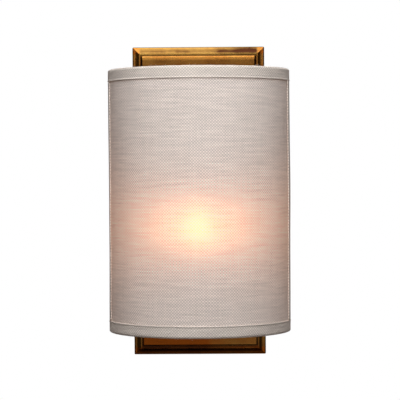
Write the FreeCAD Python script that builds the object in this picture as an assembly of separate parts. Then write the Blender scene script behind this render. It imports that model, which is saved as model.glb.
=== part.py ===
import FreeCAD, Part
import math
import os

# Wall light with a half-round fabric shade, in millimetres.
# +X is to the right seen from the room, +Z is up and -Y points into the room.
# The origin is the middle of the outlet-box screw slots, on the wall.
# A "depth" is a distance from the wall into the room, so it lies at y = -depth.

# --- wall plate: a pan drawn from sheet, with a coved frame and a raised face panel ---
PLATE_W = 152.4
PLATE_H = 355.6
PLATE_CORNER_R = 1.6
SHEET_T = 1.2
SKIRT_DEPTH = 17.0          # wall to the front of the outer edge
OUTER_EDGE_R = 1.6
BAND_W = 8.6                # outer edge to the groove
COVE_R = 9.0
LIP_W = 0.8                 # flat lip between the cove and the groove
GROOVE_W = 1.2
WEB_DEPTH = 15.5            # wall to the front of the pan's web
PANEL_RISE = 3.4            # face panel above the lip
PANEL_EDGE_R = 2.0

# --- machine screws, nuts and washers ---
SCREW_R = 2.08
THREAD_FIT = 0.04           # radial, between a thread and its nut
HOLE_CLEAR = 0.45           # radial, round a screw in a drilled hole
HEAD_R = 4.0
HEAD_H = 2.4
HEAD_EDGE_R = 1.2
DRIVER_SLOT_W = 1.0
DRIVER_SLOT_DEPTH = 1.1
NUT_AF = 8.7
NUT_H = 3.2
NUT_CHAMFER_ANGLE = 30.0
WASHER_R = 5.6
WASHER_T = 1.0
WASHER_FIT = 0.09
THREAD_END = 1.6            # thread left showing past a nut

# --- mounting strap that screws to the outlet box ---
BAR_LEN = 108.0
BAR_W = 19.0
BAR_T = 2.0
BAR_RISE = 5.2              # wall to the back of the raised middle
BAR_CORNER_R = 4.8
BAR_STEP = 5.0              # run of the slope between a foot and the middle
STUD_TO_BEND = 2.0          # edge of a stud's head to the bend
BOX_SLOT_PITCH = 79.4
BOX_SLOT_LEN = 14.5
BOX_SLOT_R = 2.5
STUD_PITCH = 38.0
STUD_REACH = 7.0            # stud in front of the face panel
CAP_NUT_R = 6.2
CAP_NUT_COLLAR_R = 4.9
CAP_NUT_COLLAR_H = 2.2
CAP_NUT_WALL = 2.2          # metal left in front of the blind thread
CAP_NUT_ROOM = 0.1          # end of the stud to the end of the blind thread
GROUND_SCREW_R = 2.4
GROUND_WASHER_R = 5.4
GROUND_WASHER_T = 0.8
GROUND_HEX_AF = 7.9
GROUND_HEX_H = 2.2
GROUND_SCREW_TAIL = 2.2

# --- shade: laminated sheet on a wire frame, edged with folded tape ---
SHADE_H = 304.8
SHADE_R = 106.5             # outside of the tape
PROJECTION = 101.6          # wall to the front of the shade
SHADE_WALL_GAP = 9.0        # wall to the back edges of the shade
TAPE_T = 0.6
TAPE_W = 14.0
TAPE_TURN_IN = 8.0          # tape on the inner side of the sheet
FABRIC_T = 0.7
LINER_T = 0.4
WIRE_R = 1.5
PLY_GAP = 0.1               # glue line between the layers
BUTT_GAP = 0.2              # between the ends of two tapes
STRAP_W = 12.0
STRAP_T = 1.6
STRAP_SLOT_LEN = 12.0
NOTCH_CLEAR = 0.3

# --- posts on the face panel that carry the shade, and their thumb nuts ---
POST_COLLAR_R = 4.8
POST_COLLAR_H = 1.5
THUMB_NUT_R = 7.0
THUMB_NUT_H = 6.0
THUMB_HUB_R = 4.6
THUMB_HUB_H = 1.6
THUMB_CHAMFER = 0.8
FLUTES = 20
FLUTE_R = 0.7

# --- lamp ---
LAMP_DEPTH = 58.0           # wall to the lamp's axis
LIGHT_DROP = 27.0           # light centre below the middle of the shade
LIGHT_CENTRE_H = 60.0       # tip contact to the light centre
LAMP_LEN = 98.0
BULB_R = 17.5
BULB_WIDEST_H = 47.0
BULB_NECK_H = 22.0
BULB_TIP_R = 3.0
GLASS_T = 0.8
CAP_R = 5.95
CAP_T = 0.3
CAP_H = 17.0
CAP_CONE_H = 2.4
GLASS_IN_CAP = 2.2          # neck of the glass inside the cap
CAP_BOTTOM_R = 3.6
CAP_ROLL_R = 0.35           # depth of the rolled thread
CAP_PITCH = 2.54
INSULATOR_H = 1.6
TIP_R = 2.0
TIP_H = 1.2
TIP_DOME_H = 0.3
STEM_R = 3.4
STEM_ROD_R = 1.3
STEM_FLARE_H = 6.0
STEM_BELOW_LIGHT = 13.0
FILAMENT_SPREAD = 6.5
FILAMENT_R = 0.45
LEAD_WIRE_R = 0.35

# --- lampholder ---
HOLDER_R = 10.5
HOLDER_FLAT = 1.2           # depth of the flats under the terminal screws
HOLDER_FLOOR = 7.0
HOLDER_RIM_R = 0.9
HOLDER_BASE_R = 8.6
HOLDER_BASE_H = 3.0
SHELL_T = 0.5
SHELL_FIT = 0.1             # radial, between lamp cap and shell
SHELL_BELOW_CAP_TOP = 1.0
CONTACT_ROOM = 3.6          # lamp tip to the holder's floor
CONTACT_W = 4.4
CONTACT_T = 0.4
CONTACT_GAP = 0.05
CONTACT_PAD = 3.6           # flat under the lamp's tip
CONTACT_RAMP = 2.2          # run of the leaf's rise
CONTACT_SIDE_GAP = 0.5      # corners of the leaf to the shell
LEAD_HOLE_R = 1.6           # through the holder's floor
TERMINAL_HEAD_R = 2.4
TERMINAL_HEAD_H = 1.5
TERMINAL_HEAD_EDGE_R = 0.7
TERMINAL_SHANK_R = 1.3
TERMINAL_SHANK_L = 2.6
NIPPLE_R = 4.85
NIPPLE_BORE_R = 3.2
NIPPLE_GRIP = 4.0           # thread inside the holder
NIPPLE_TAIL = 1.5
LOCKNUT_AF = 14.3
LOCKNUT_H = 3.2

# --- bracket under the lampholder ---
ARM_W = 16.0
ARM_T = 2.0
ARM_BEND_R = 2.0
ARM_LEG_H = 27.0
ARM_SCREW_PITCH = 12.0
ARM_SCREW_END = 6.0         # top of the leg to its upper screw
ARM_END_FLAT = 0.2          # left between the two rounded corners at the tip

# --- insulating bushing for the supply leads ---
BUSHING_BORE_R = 4.0
BUSHING_SHANK_R = 5.8
BUSHING_FLANGE_R = 7.6
BUSHING_FLANGE_T = 1.2
BUSHING_CHAMFER = 0.6
BUSHING_SHANK_L = 3.6
BUSHING_FIT = 0.05
BUSHING_BELOW_ARM = 17.0
BUSHING_WEB_CLEAR = 2.2

CUT = 1.0                   # how far a cutting shape runs past a face
ALIGNED = 0.9               # cosine above which an edge counts as parallel
SAME_POINT = 1e-7

# --- places that follow from the sizes above ---
LIP_DEPTH = SKIRT_DEPTH + COVE_R - math.sqrt(
    COVE_R ** 2 - (BAND_W - LIP_W - OUTER_EDGE_R) ** 2)
PANEL_DEPTH = LIP_DEPTH + PANEL_RISE
PANEL_W = PLATE_W - 2 * (BAND_W + GROOVE_W)
PANEL_H = PLATE_H - 2 * (BAND_W + GROOVE_W)
BAR_FRONT = BAR_RISE + BAR_T
WEB_BACK = WEB_DEPTH - SHEET_T
HOLE_R = SCREW_R + HOLE_CLEAR

SHADE_AXIS_DEPTH = PROJECTION - SHADE_R
FOLD_R = (2 * TAPE_T + FABRIC_T + LINER_T + 2 * WIRE_R + 4 * PLY_GAP) / 2
FOLD_AXIS_R = SHADE_R - FOLD_R
FABRIC_R = SHADE_R - TAPE_T - PLY_GAP
LINER_R = FABRIC_R - FABRIC_T - PLY_GAP
WIRE_AXIS_R = LINER_R - LINER_T - PLY_GAP - WIRE_R
HALF_ANGLE = math.degrees(math.acos(
    (SHADE_WALL_GAP + FOLD_R - SHADE_AXIS_DEPTH) / FOLD_AXIS_R))
FOLD_Z = SHADE_H / 2 - FOLD_R
SIDE_TAPE_Z = SHADE_H / 2 - TAPE_W - BUTT_GAP
STRAP_TOP_Z = FOLD_Z - WIRE_R
POST_Z = STRAP_TOP_Z - STRAP_W / 2
STRAP_DEPTH = PANEL_DEPTH + POST_COLLAR_H
WASHER_DEPTH = STRAP_DEPTH + STRAP_T
THUMB_DEPTH = WASHER_DEPTH + WASHER_T
POST_END = THUMB_DEPTH + THUMB_HUB_H + THUMB_NUT_H + THREAD_END

TIP_Z = -LIGHT_DROP - LIGHT_CENTRE_H
CAP_Z = TIP_Z + TIP_H + INSULATOR_H
CAP_TOP_Z = CAP_Z + CAP_H
LIGHT_Z = TIP_Z + LIGHT_CENTRE_H
HOLDER_FLOOR_Z = TIP_Z - CONTACT_ROOM
HOLDER_Z = HOLDER_FLOOR_Z - HOLDER_FLOOR
SHELL_TOP_Z = CAP_TOP_Z - SHELL_BELOW_CAP_TOP
SHELL_R = CAP_R + SHELL_FIT
ARM_TOP_Z = HOLDER_Z - LOCKNUT_H
ARM_Z = ARM_TOP_Z - ARM_T
ARM_LEG_TOP_Z = ARM_Z + ARM_LEG_H
ARM_SCREW_Z = [ARM_LEG_TOP_Z - ARM_SCREW_END,
               ARM_LEG_TOP_Z - ARM_SCREW_END - ARM_SCREW_PITCH]
BUSHING_Z = ARM_Z - BUSHING_BELOW_ARM

UP = FreeCAD.Vector(0, 0, 1)
ROOM = FreeCAD.Vector(0, -1, 0)
ORIGIN = FreeCAD.Vector(0, 0, 0)


# --- drawing helpers ---

def at(x, depth, z):
    """A point given by its depth from the wall."""
    return FreeCAD.Vector(x, -depth, z)


def wire(start, *steps):
    """A closed wire: each step is an end point, or a (through, end) pair for an arc."""
    edges = []
    here = start
    for step in list(steps) + [start]:
        if isinstance(step, tuple):
            edges.append(Part.Arc(here, step[0], step[1]).toShape())
            here = step[1]
        elif not step.isEqual(here, SAME_POINT):
            edges.append(Part.LineSegment(here, step).toShape())
            here = step
    return Part.Wire(edges)


def turned(start, *steps):
    """A solid of revolution about Z from (radius, z) corners; a pair of corners is an arc."""
    def place(corner):
        return FreeCAD.Vector(corner[0], 0, corner[1])

    def step_of(step):
        if isinstance(step[0], tuple):
            return (place(step[0]), place(step[1]))
        return place(step)

    section = wire(place(start), *[step_of(step) for step in steps])
    return Part.Face(section).revolve(ORIGIN, UP, 360)


def on_arc(centre, radius, turn):
    """The (radius, z) corner at an angle, in degrees, on an arc about a centre."""
    return (centre[0] + radius * math.cos(math.radians(turn)),
            centre[1] + radius * math.sin(math.radians(turn)))


def runs_along(edge, direction):
    """Whether an edge starts off parallel to a direction."""
    return abs(edge.tangentAt(edge.FirstParameter).dot(direction)) > ALIGNED


def facing_room(shape, x, depth, z):
    """Lays a shape drawn along +Z over so that it points into the room."""
    shape = shape.copy()
    shape.rotate(ORIGIN, FreeCAD.Vector(1, 0, 0), 90)
    shape.translate(at(x, depth, z))
    return shape


def rod(radius, x, z, depth_from, depth_to):
    """A round bar that runs from one depth to another."""
    length = depth_to - depth_from
    return Part.makeCylinder(radius, length, at(x, depth_from, z), ROOM)


def block(x_from, x_to, depth_from, depth_to, z_from, z_to):
    """A rectangular block between two depths."""
    corner = at(x_from, depth_to, z_from)
    return Part.makeBox(x_to - x_from, depth_to - depth_from, z_to - z_from, corner)


def hexagon(across_flats, height):
    """A hexagonal prism on the XY plane, with its corners chamfered at both ends."""
    corner_r = across_flats / math.sqrt(3)
    corners = [FreeCAD.Vector(corner_r * math.cos(math.radians(60 * k)),
                              corner_r * math.sin(math.radians(60 * k)), 0) for k in range(6)]
    prism = Part.Face(wire(*corners)).extrude(UP * height)
    flat_r = across_flats / 2
    drop = (corner_r - flat_r) * math.tan(math.radians(NUT_CHAMFER_ANGLE))
    dome = turned((0, 0), (flat_r, 0), (corner_r, drop), (corner_r, height - drop),
                  (flat_r, height), (0, height))
    return prism.common(dome)


def hex_nut(across_flats, height, thread_r):
    """A hexagonal nut on the XY plane."""
    bore = Part.makeCylinder(thread_r + THREAD_FIT, height + 2 * CUT, UP * -CUT)
    return hexagon(across_flats, height).cut(bore)


def pan_head(radius, height, edge_r):
    """A slotted pan head on the XY plane, with its top facing +Z."""
    bend = (radius - edge_r, height - edge_r)
    head = turned((0, 0), (radius, 0), (radius, height - edge_r),
                  (on_arc(bend, edge_r, 45), (radius - edge_r, height)), (0, height))
    slot = Part.makeBox(2 * radius + 2 * CUT, DRIVER_SLOT_W, DRIVER_SLOT_DEPTH + CUT,
                        FreeCAD.Vector(-radius - CUT, -DRIVER_SLOT_W / 2,
                                       height - DRIVER_SLOT_DEPTH))
    return head.cut(slot)


def slot_prism(radius, length, depth_from, depth_to, x, z):
    """A round-ended slot along X, cut from one depth to another."""
    half = length / 2 - radius
    outline = wire(at(x - half, depth_from, z - radius), at(x + half, depth_from, z - radius),
                   (at(x + half + radius, depth_from, z), at(x + half, depth_from, z + radius)),
                   at(x - half, depth_from, z + radius),
                   (at(x - half - radius, depth_from, z), at(x - half, depth_from, z - radius)))
    return Part.Face(outline).extrude(ROOM * (depth_to - depth_from))


def about_lamp_axis(shape):
    """Moves a shape turned about Z onto the lamp's axis."""
    shape = shape.copy()
    shape.translate(at(0, LAMP_DEPTH, 0))
    return shape


def both_sides(shape):
    """The shape and its mirror image in the plane x = 0."""
    return [shape, shape.mirror(ORIGIN, FreeCAD.Vector(1, 0, 0))]


def top_and_bottom(shape):
    """The shape and its mirror image in the plane z = 0."""
    return [shape, shape.mirror(ORIGIN, UP)]


# --- wall plate ---

def frame_moulding():
    """The skirt, rounded edge, cove, lip and groove wall, mitred round the plate."""
    half_w = PLATE_W / 2
    bend = (OUTER_EDGE_R, SKIRT_DEPTH - OUTER_EDGE_R)

    def cove_point(radius, inward):
        run = inward - OUTER_EDGE_R
        return (inward, SKIRT_DEPTH + COVE_R - math.sqrt(radius ** 2 - run ** 2))

    def place(inward, depth):
        return at(-half_w + inward, depth, 0)

    cove_end = BAND_W - LIP_W
    wall_back = BAND_W - SHEET_T
    back_cove_r = COVE_R + SHEET_T
    section = wire(
        place(0, 0),
        place(0, SKIRT_DEPTH - OUTER_EDGE_R),
        (place(*on_arc(bend, OUTER_EDGE_R, 135)), place(OUTER_EDGE_R, SKIRT_DEPTH)),
        (place(*cove_point(COVE_R, (OUTER_EDGE_R + cove_end) / 2)),
         place(*cove_point(COVE_R, cove_end))),
        place(BAND_W, LIP_DEPTH),
        place(BAND_W, WEB_BACK),
        place(wall_back, WEB_BACK),
        place(*cove_point(back_cove_r, wall_back)),
        (place(*cove_point(back_cove_r, (OUTER_EDGE_R + wall_back) / 2)),
         place(OUTER_EDGE_R, SKIRT_DEPTH - SHEET_T)),
        (place(*on_arc(bend, OUTER_EDGE_R - SHEET_T, 135)),
         place(SHEET_T, SKIRT_DEPTH - OUTER_EDGE_R)),
        place(SHEET_T, 0))
    half_h = PLATE_H / 2
    spine = wire(at(-half_w, 0, 0), at(-half_w, 0, half_h), at(half_w, 0, half_h),
                 at(half_w, 0, -half_h), at(-half_w, 0, -half_h))
    mitred_corners = 1
    return spine.makePipeShell([section], True, False, mitred_corners)


def plate_holes(depth_from, depth_to, bushing_r):
    """The holes that go through a layer of the plate."""
    spots = [(side * STUD_PITCH / 2, 0) for side in (-1, 1)]
    spots += [(0, side * POST_Z) for side in (-1, 1)]
    spots += [(0, z) for z in ARM_SCREW_Z]
    holes = [rod(HOLE_R, x, z, depth_from, depth_to) for x, z in spots]
    holes.append(rod(bushing_r, 0, BUSHING_Z, depth_from, depth_to))
    return Part.makeCompound(holes)


def backplate_pan():
    """The drawn pan: moulding and web in one sheet, open towards the wall."""
    inset = BAND_W - SHEET_T
    web = block(inset - PLATE_W / 2, PLATE_W / 2 - inset, WEB_BACK, WEB_DEPTH,
                inset - PLATE_H / 2, PLATE_H / 2 - inset)
    pan = frame_moulding().fuse(web)
    envelope = block(-PLATE_W / 2, PLATE_W / 2, 0, PANEL_DEPTH, -PLATE_H / 2, PLATE_H / 2)
    corners = [edge for edge in envelope.Edges if runs_along(edge, ROOM)]
    pan = pan.common(envelope.makeFillet(PLATE_CORNER_R, corners))
    holes = plate_holes(WEB_BACK - CUT, WEB_DEPTH + CUT, BUSHING_SHANK_R + BUSHING_WEB_CLEAR)
    return pan.cut(holes).removeSplitter()


def rounded_tray(inset, front_depth):
    """A block whose front and corner edges are rounded, inset from the panel's outline."""
    half_w = PANEL_W / 2 - inset
    half_h = PANEL_H / 2 - inset
    tray = block(-half_w, half_w, WEB_DEPTH, front_depth, -half_h, half_h)
    rounded = [edge for edge in tray.Edges
               if runs_along(edge, ROOM) or edge.BoundBox.YMax < -front_depth + CUT]
    return tray.makeFillet(PANEL_EDGE_R - inset, rounded)


def face_panel():
    """The raised panel: a shallow tray that stands on the pan's web."""
    tray = rounded_tray(0, PANEL_DEPTH).cut(rounded_tray(SHEET_T, PANEL_DEPTH - SHEET_T))
    holes = plate_holes(WEB_DEPTH, PANEL_DEPTH + CUT, BUSHING_SHANK_R + BUSHING_FIT)
    return tray.cut(holes)


# --- mounting strap ---

def mounting_strap():
    """A strap with two feet on the wall, slotted for the box screws, and a raised middle."""
    end = BAR_LEN / 2
    step = STUD_PITCH / 2 + HEAD_R + STUD_TO_BEND
    foot = step + BAR_STEP
    low = -BAR_W / 2
    outline = wire(at(-end, 0, low), at(-foot, 0, low), at(-step, BAR_RISE, low),
                   at(step, BAR_RISE, low), at(foot, 0, low), at(end, 0, low),
                   at(end, BAR_T, low), at(foot, BAR_T, low), at(step, BAR_FRONT, low),
                   at(-step, BAR_FRONT, low), at(-foot, BAR_T, low), at(-end, BAR_T, low))
    bar = Part.Face(outline).extrude(UP * BAR_W)
    corners = [edge for edge in bar.Edges
               if runs_along(edge, ROOM) and abs(edge.BoundBox.Center.x) > end - CUT]
    bar = bar.makeFillet(BAR_CORNER_R, corners)
    holes = [slot_prism(BOX_SLOT_R, BOX_SLOT_LEN, -CUT, BAR_T + CUT,
                        side * BOX_SLOT_PITCH / 2, 0) for side in (-1, 1)]
    holes += [rod(SCREW_R + THREAD_FIT, side * STUD_PITCH / 2, 0, BAR_RISE - CUT,
                  BAR_FRONT + CUT) for side in (-1, 1)]
    holes.append(rod(GROUND_SCREW_R + THREAD_FIT, 0, 0, BAR_RISE - CUT, BAR_FRONT + CUT))
    return bar.cut(Part.makeCompound(holes))


def plate_studs():
    """Two screws that point into the room, with their heads behind the strap."""
    length = PANEL_DEPTH + STUD_REACH - BAR_RISE
    head = pan_head(HEAD_R, HEAD_H, HEAD_EDGE_R)
    head.rotate(ORIGIN, FreeCAD.Vector(1, 0, 0), 180)
    stud = head.fuse(Part.makeCylinder(SCREW_R, length))
    return Part.makeCompound([facing_room(stud, side * STUD_PITCH / 2, BAR_RISE, 0)
                              for side in (-1, 1)])


def strap_nuts():
    """The nuts that lock the studs to the strap."""
    nut = hex_nut(NUT_AF, NUT_H, SCREW_R)
    return Part.makeCompound([facing_room(nut, side * STUD_PITCH / 2, BAR_FRONT, 0)
                              for side in (-1, 1)])


def cap_nuts():
    """Ball-shaped nuts on the studs, which hold the plate to the strap."""
    thread_end = STUD_REACH + CAP_NUT_ROOM
    ball_z = thread_end + CAP_NUT_WALL - CAP_NUT_R
    join_z = ball_z - math.sqrt(CAP_NUT_R ** 2 - CAP_NUT_COLLAR_R ** 2)
    collar_z = max(join_z, CAP_NUT_COLLAR_H)
    collar_r = math.sqrt(CAP_NUT_R ** 2 - (collar_z - ball_z) ** 2)
    collar_turn = math.degrees(math.asin((collar_z - ball_z) / CAP_NUT_R))
    bore_r = SCREW_R + THREAD_FIT
    nut = turned((bore_r, 0), (CAP_NUT_COLLAR_R, 0), (CAP_NUT_COLLAR_R, CAP_NUT_COLLAR_H),
                 (collar_r, collar_z),
                 (on_arc((0, ball_z), CAP_NUT_R, (collar_turn + 90) / 2),
                  (0, ball_z + CAP_NUT_R)),
                 (0, thread_end), (bore_r, thread_end))
    return Part.makeCompound([facing_room(nut, side * STUD_PITCH / 2, PANEL_DEPTH, 0)
                              for side in (-1, 1)])


def ground_screw():
    """A hexagonal washer-head screw for the earth lead, in the middle of the strap."""
    head = Part.makeCylinder(GROUND_WASHER_R, GROUND_WASHER_T)
    hexed = hexagon(GROUND_HEX_AF, GROUND_HEX_H)
    hexed.translate(UP * GROUND_WASHER_T)
    shank = Part.makeCylinder(GROUND_SCREW_R, BAR_T + GROUND_SCREW_TAIL, ORIGIN, -UP)
    return facing_room(head.fuse([hexed, shank]), 0, BAR_FRONT, 0)


# --- posts, bracket and bushing on the plate ---

def shade_posts():
    """Two threaded posts with a collar that stands on the face panel."""
    tail = WEB_BACK - NUT_H - THREAD_END
    posts = []
    for side in (-1, 1):
        collar = rod(POST_COLLAR_R, 0, side * POST_Z, PANEL_DEPTH, STRAP_DEPTH)
        posts.append(collar.fuse(rod(SCREW_R, 0, side * POST_Z, tail, POST_END)))
    return Part.makeCompound(posts)


def back_nuts():
    """The nuts behind the web, on the posts and on the bracket's screws."""
    nut = hex_nut(NUT_AF, NUT_H, SCREW_R)
    heights = [-POST_Z, POST_Z] + ARM_SCREW_Z
    return Part.makeCompound([facing_room(nut, 0, WEB_BACK - NUT_H, z) for z in heights])


def lamp_bracket():
    """An L-shaped arm: its leg on the face panel, its foot under the lampholder."""
    root = PANEL_DEPTH
    tip = LAMP_DEPTH
    outer_r = ARM_BEND_R + ARM_T
    half_w = ARM_W / 2
    bend = (root + outer_r, ARM_Z + outer_r)
    side = wire(
        at(-half_w, root, ARM_LEG_TOP_Z),
        at(-half_w, root, ARM_Z + outer_r),
        (at(-half_w, *on_arc(bend, outer_r, 225)), at(-half_w, root + outer_r, ARM_Z)),
        at(-half_w, tip + half_w, ARM_Z),
        at(-half_w, tip + half_w, ARM_TOP_Z),
        at(-half_w, root + outer_r, ARM_TOP_Z),
        (at(-half_w, *on_arc(bend, ARM_BEND_R, 225)),
         at(-half_w, root + ARM_T, ARM_TOP_Z + ARM_BEND_R)),
        at(-half_w, root + ARM_T, ARM_LEG_TOP_Z))
    arm = Part.Face(side).extrude(FreeCAD.Vector(ARM_W, 0, 0))
    corners = [edge for edge in arm.Edges if runs_along(edge, UP) and edge.BoundBox.YMax < -tip]
    arm = arm.makeFillet(half_w - ARM_END_FLAT / 2, corners)
    holes = [rod(HOLE_R, 0, z, root - CUT, root + ARM_T + CUT) for z in ARM_SCREW_Z]
    holes.append(Part.makeCylinder(NIPPLE_R + HOLE_CLEAR, ARM_T + 2 * CUT,
                                   at(0, LAMP_DEPTH, ARM_Z - CUT)))
    return arm.cut(Part.makeCompound(holes))


def bracket_screws():
    """The two screws that hold the bracket, through panel and web to the back nuts."""
    seat = PANEL_DEPTH + ARM_T
    length = seat - (WEB_BACK - NUT_H - THREAD_END)
    head = pan_head(HEAD_R, HEAD_H, HEAD_EDGE_R)
    screw = head.fuse(Part.makeCylinder(SCREW_R, length, ORIGIN, -UP))
    return Part.makeCompound([facing_room(screw, 0, seat, z) for z in ARM_SCREW_Z])


def lead_bushing():
    """The insulating bushing through which the supply leads leave the plate."""
    barb = turned((BUSHING_BORE_R, BUSHING_FLANGE_T), (BUSHING_BORE_R, -BUSHING_SHANK_L),
                  (BUSHING_SHANK_R, -BUSHING_SHANK_L), (BUSHING_SHANK_R, 0),
                  (BUSHING_FLANGE_R, 0), (BUSHING_FLANGE_R, BUSHING_FLANGE_T - BUSHING_CHAMFER),
                  (BUSHING_FLANGE_R - BUSHING_CHAMFER, BUSHING_FLANGE_T))
    return facing_room(barb, 0, PANEL_DEPTH, BUSHING_Z)


# --- lampholder ---

def holder_body():
    """The moulded body: a deep cup with flats for the terminals and a threaded foot."""
    bore_r = SHELL_R + SHELL_T + PLY_GAP
    rim_z = SHELL_TOP_Z + HOLDER_RIM_R
    bend = (HOLDER_R - HOLDER_RIM_R, SHELL_TOP_Z)
    body = turned((0, HOLDER_FLOOR_Z), (0, HOLDER_Z), (HOLDER_BASE_R, HOLDER_Z),
                  (HOLDER_R, HOLDER_Z + HOLDER_BASE_H), (HOLDER_R, SHELL_TOP_Z),
                  (on_arc(bend, HOLDER_RIM_R, 45), (HOLDER_R - HOLDER_RIM_R, rim_z)),
                  (bore_r, rim_z), (bore_r, HOLDER_FLOOR_Z))
    body = about_lamp_axis(body)
    foot = Part.makeCylinder(NIPPLE_R + THREAD_FIT, NIPPLE_GRIP + CUT,
                             at(0, LAMP_DEPTH, HOLDER_Z - CUT))
    lead_hole = Part.makeCylinder(LEAD_HOLE_R, HOLDER_FLOOR + CUT,
                                  at(0, LAMP_DEPTH, HOLDER_Z))
    flat_top = HOLDER_FLOOR_Z + TERMINAL_HEAD_R
    flat = block(HOLDER_R - HOLDER_FLAT, HOLDER_R + CUT, LAMP_DEPTH - HOLDER_R,
                 LAMP_DEPTH + HOLDER_R, HOLDER_Z - CUT, flat_top)
    screw_hole = Part.makeCylinder(TERMINAL_SHANK_R + THREAD_FIT, TERMINAL_SHANK_L + CUT,
                                   terminal_seat(), FreeCAD.Vector(-1, 0, 0))
    return body.cut([foot, lead_hole] + both_sides(flat) + both_sides(screw_hole))


def terminal_seat():
    """The point where the right-hand terminal screw meets its flat."""
    return at(HOLDER_R - HOLDER_FLAT, LAMP_DEPTH, HOLDER_FLOOR_Z - TERMINAL_HEAD_R)


def terminal_screws():
    """The two screws on the holder's flats that take the leads."""
    screw = pan_head(TERMINAL_HEAD_R, TERMINAL_HEAD_H, TERMINAL_HEAD_EDGE_R)
    screw = screw.fuse(Part.makeCylinder(TERMINAL_SHANK_R, TERMINAL_SHANK_L, ORIGIN, -UP))
    screw.rotate(ORIGIN, FreeCAD.Vector(0, 1, 0), 90)
    screw.translate(terminal_seat())
    return Part.makeCompound(both_sides(screw))


def holder_shell():
    """The brass screw shell inside the holder, rolled over at its mouth."""
    tube = turned((SHELL_R, HOLDER_FLOOR_Z), (SHELL_R + SHELL_T, HOLDER_FLOOR_Z),
                  (SHELL_R + SHELL_T, SHELL_TOP_Z), (SHELL_R, SHELL_TOP_Z))
    return about_lamp_axis(tube)


def holder_contact():
    """The springy centre contact: a leaf that rises from the floor to the lamp's tip."""
    half_w = CONTACT_W / 2
    pad = CONTACT_PAD / 2
    foot = pad + CONTACT_RAMP
    end = math.sqrt((SHELL_R - CONTACT_SIDE_GAP) ** 2 - half_w ** 2)
    top = TIP_Z - CONTACT_GAP
    floor = HOLDER_FLOOR_Z
    leaf = [(-end, floor), (-foot, floor), (-pad, top - CONTACT_T), (pad, top - CONTACT_T),
            (pad, top), (-pad, top), (-foot, floor + CONTACT_T), (-end, floor + CONTACT_T)]
    outline = wire(*[at(x, LAMP_DEPTH - half_w, z) for x, z in leaf])
    return Part.Face(outline).extrude(ROOM * CONTACT_W)


def holder_nipple():
    """The threaded tube that ties the holder to its bracket."""
    bottom = ARM_Z - LOCKNUT_H - NIPPLE_TAIL
    top = HOLDER_Z + NIPPLE_GRIP
    tube = turned((NIPPLE_BORE_R, bottom), (NIPPLE_R, bottom), (NIPPLE_R, top),
                  (NIPPLE_BORE_R, top))
    return about_lamp_axis(tube)


def holder_locknuts():
    """The thin nuts above and below the bracket."""
    nuts = []
    for z in (ARM_TOP_Z, ARM_Z - LOCKNUT_H):
        nut = about_lamp_axis(hex_nut(LOCKNUT_AF, LOCKNUT_H, NIPPLE_R))
        nut.translate(UP * z)
        nuts.append(nut)
    return Part.makeCompound(nuts)


# --- lamp ---

def bulb_solid(inset):
    """The torpedo bulb's outline turned solid: an S-curved neck, an ogive and a round tip."""
    wide = BULB_R - inset
    neck = CAP_R - CAP_T - CAP_ROLL_R - PLY_GAP - inset
    tip_r = BULB_TIP_R - inset
    wide_z = TIP_Z + BULB_WIDEST_H
    neck_z = TIP_Z + BULB_NECK_H
    tip_centre_z = TIP_Z + LAMP_LEN - BULB_TIP_R
    mid = (wide + neck) / 2
    mid_z = (wide_z + neck_z) / 2
    run = (wide - neck) / 2
    rise = (wide_z - neck_z) / 2
    bend_r = (run ** 2 + rise ** 2) / (2 * run)
    half_turn = math.asin(rise / bend_r) / 2
    height = tip_centre_z - wide_z
    ogive_r = (wide ** 2 + height ** 2 - tip_r ** 2) / (2 * (wide - tip_r))
    join = ogive_r / (ogive_r - tip_r)
    join_r = wide - ogive_r + join * (ogive_r - wide)
    join_z = wide_z + join * height
    ogive_mid = math.asin(height / (ogive_r - tip_r)) / 2
    tip_mid = math.radians(90) - (math.radians(90) - 2 * ogive_mid) / 2
    return turned(
        (0, CAP_Z + CAP_CONE_H), (neck, CAP_Z + CAP_CONE_H), (neck, neck_z),
        ((neck + bend_r * (1 - math.cos(half_turn)), neck_z + bend_r * math.sin(half_turn)),
         (mid, mid_z)),
        ((wide - bend_r * (1 - math.cos(half_turn)), wide_z - bend_r * math.sin(half_turn)),
         (wide, wide_z)),
        ((wide - ogive_r * (1 - math.cos(ogive_mid)), wide_z + ogive_r * math.sin(ogive_mid)),
         (join_r, join_z)),
        ((tip_r * math.cos(tip_mid), tip_centre_z + tip_r * math.sin(tip_mid)),
         (0, tip_centre_z + tip_r)))


def bulb_glass():
    """The thin glass envelope, open at its neck."""
    mouth = Part.makeCylinder(BULB_R, CAP_H - GLASS_IN_CAP, UP * CAP_Z)
    shell = bulb_solid(0).cut(bulb_solid(GLASS_T)).cut(mouth)
    return about_lamp_axis(shell)


def bulb_cap():
    """The screw cap: a thin cup with its thread rolled as rings, coned to the insulator."""
    crest = CAP_R
    root = CAP_R - CAP_ROLL_R
    first = CAP_Z + CAP_CONE_H
    steps = [(CAP_BOTTOM_R, CAP_Z), (root, first)]
    rings = int((CAP_H - CAP_CONE_H) / CAP_PITCH)
    for ring in range(rings):
        low = first + ring * CAP_PITCH
        steps.append(((crest, low + CAP_PITCH / 2), (root, low + CAP_PITCH)))
    steps += [(root, CAP_TOP_Z), (root - CAP_T, CAP_TOP_Z), (root - CAP_T, first)]
    steps += [(CAP_BOTTOM_R - CAP_T, CAP_Z + CAP_T), (CAP_BOTTOM_R - CAP_T, CAP_Z)]
    return about_lamp_axis(turned(*steps))


def bulb_insulator():
    """The glass button between the cap and the tip contact."""
    top = CAP_Z + CAP_T
    plug_r = CAP_BOTTOM_R - CAP_T - PLY_GAP
    low = TIP_Z + TIP_H
    button = turned((0, low), (TIP_R, low), (plug_r, CAP_Z), (plug_r, top), (0, top))
    return about_lamp_axis(button)


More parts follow.
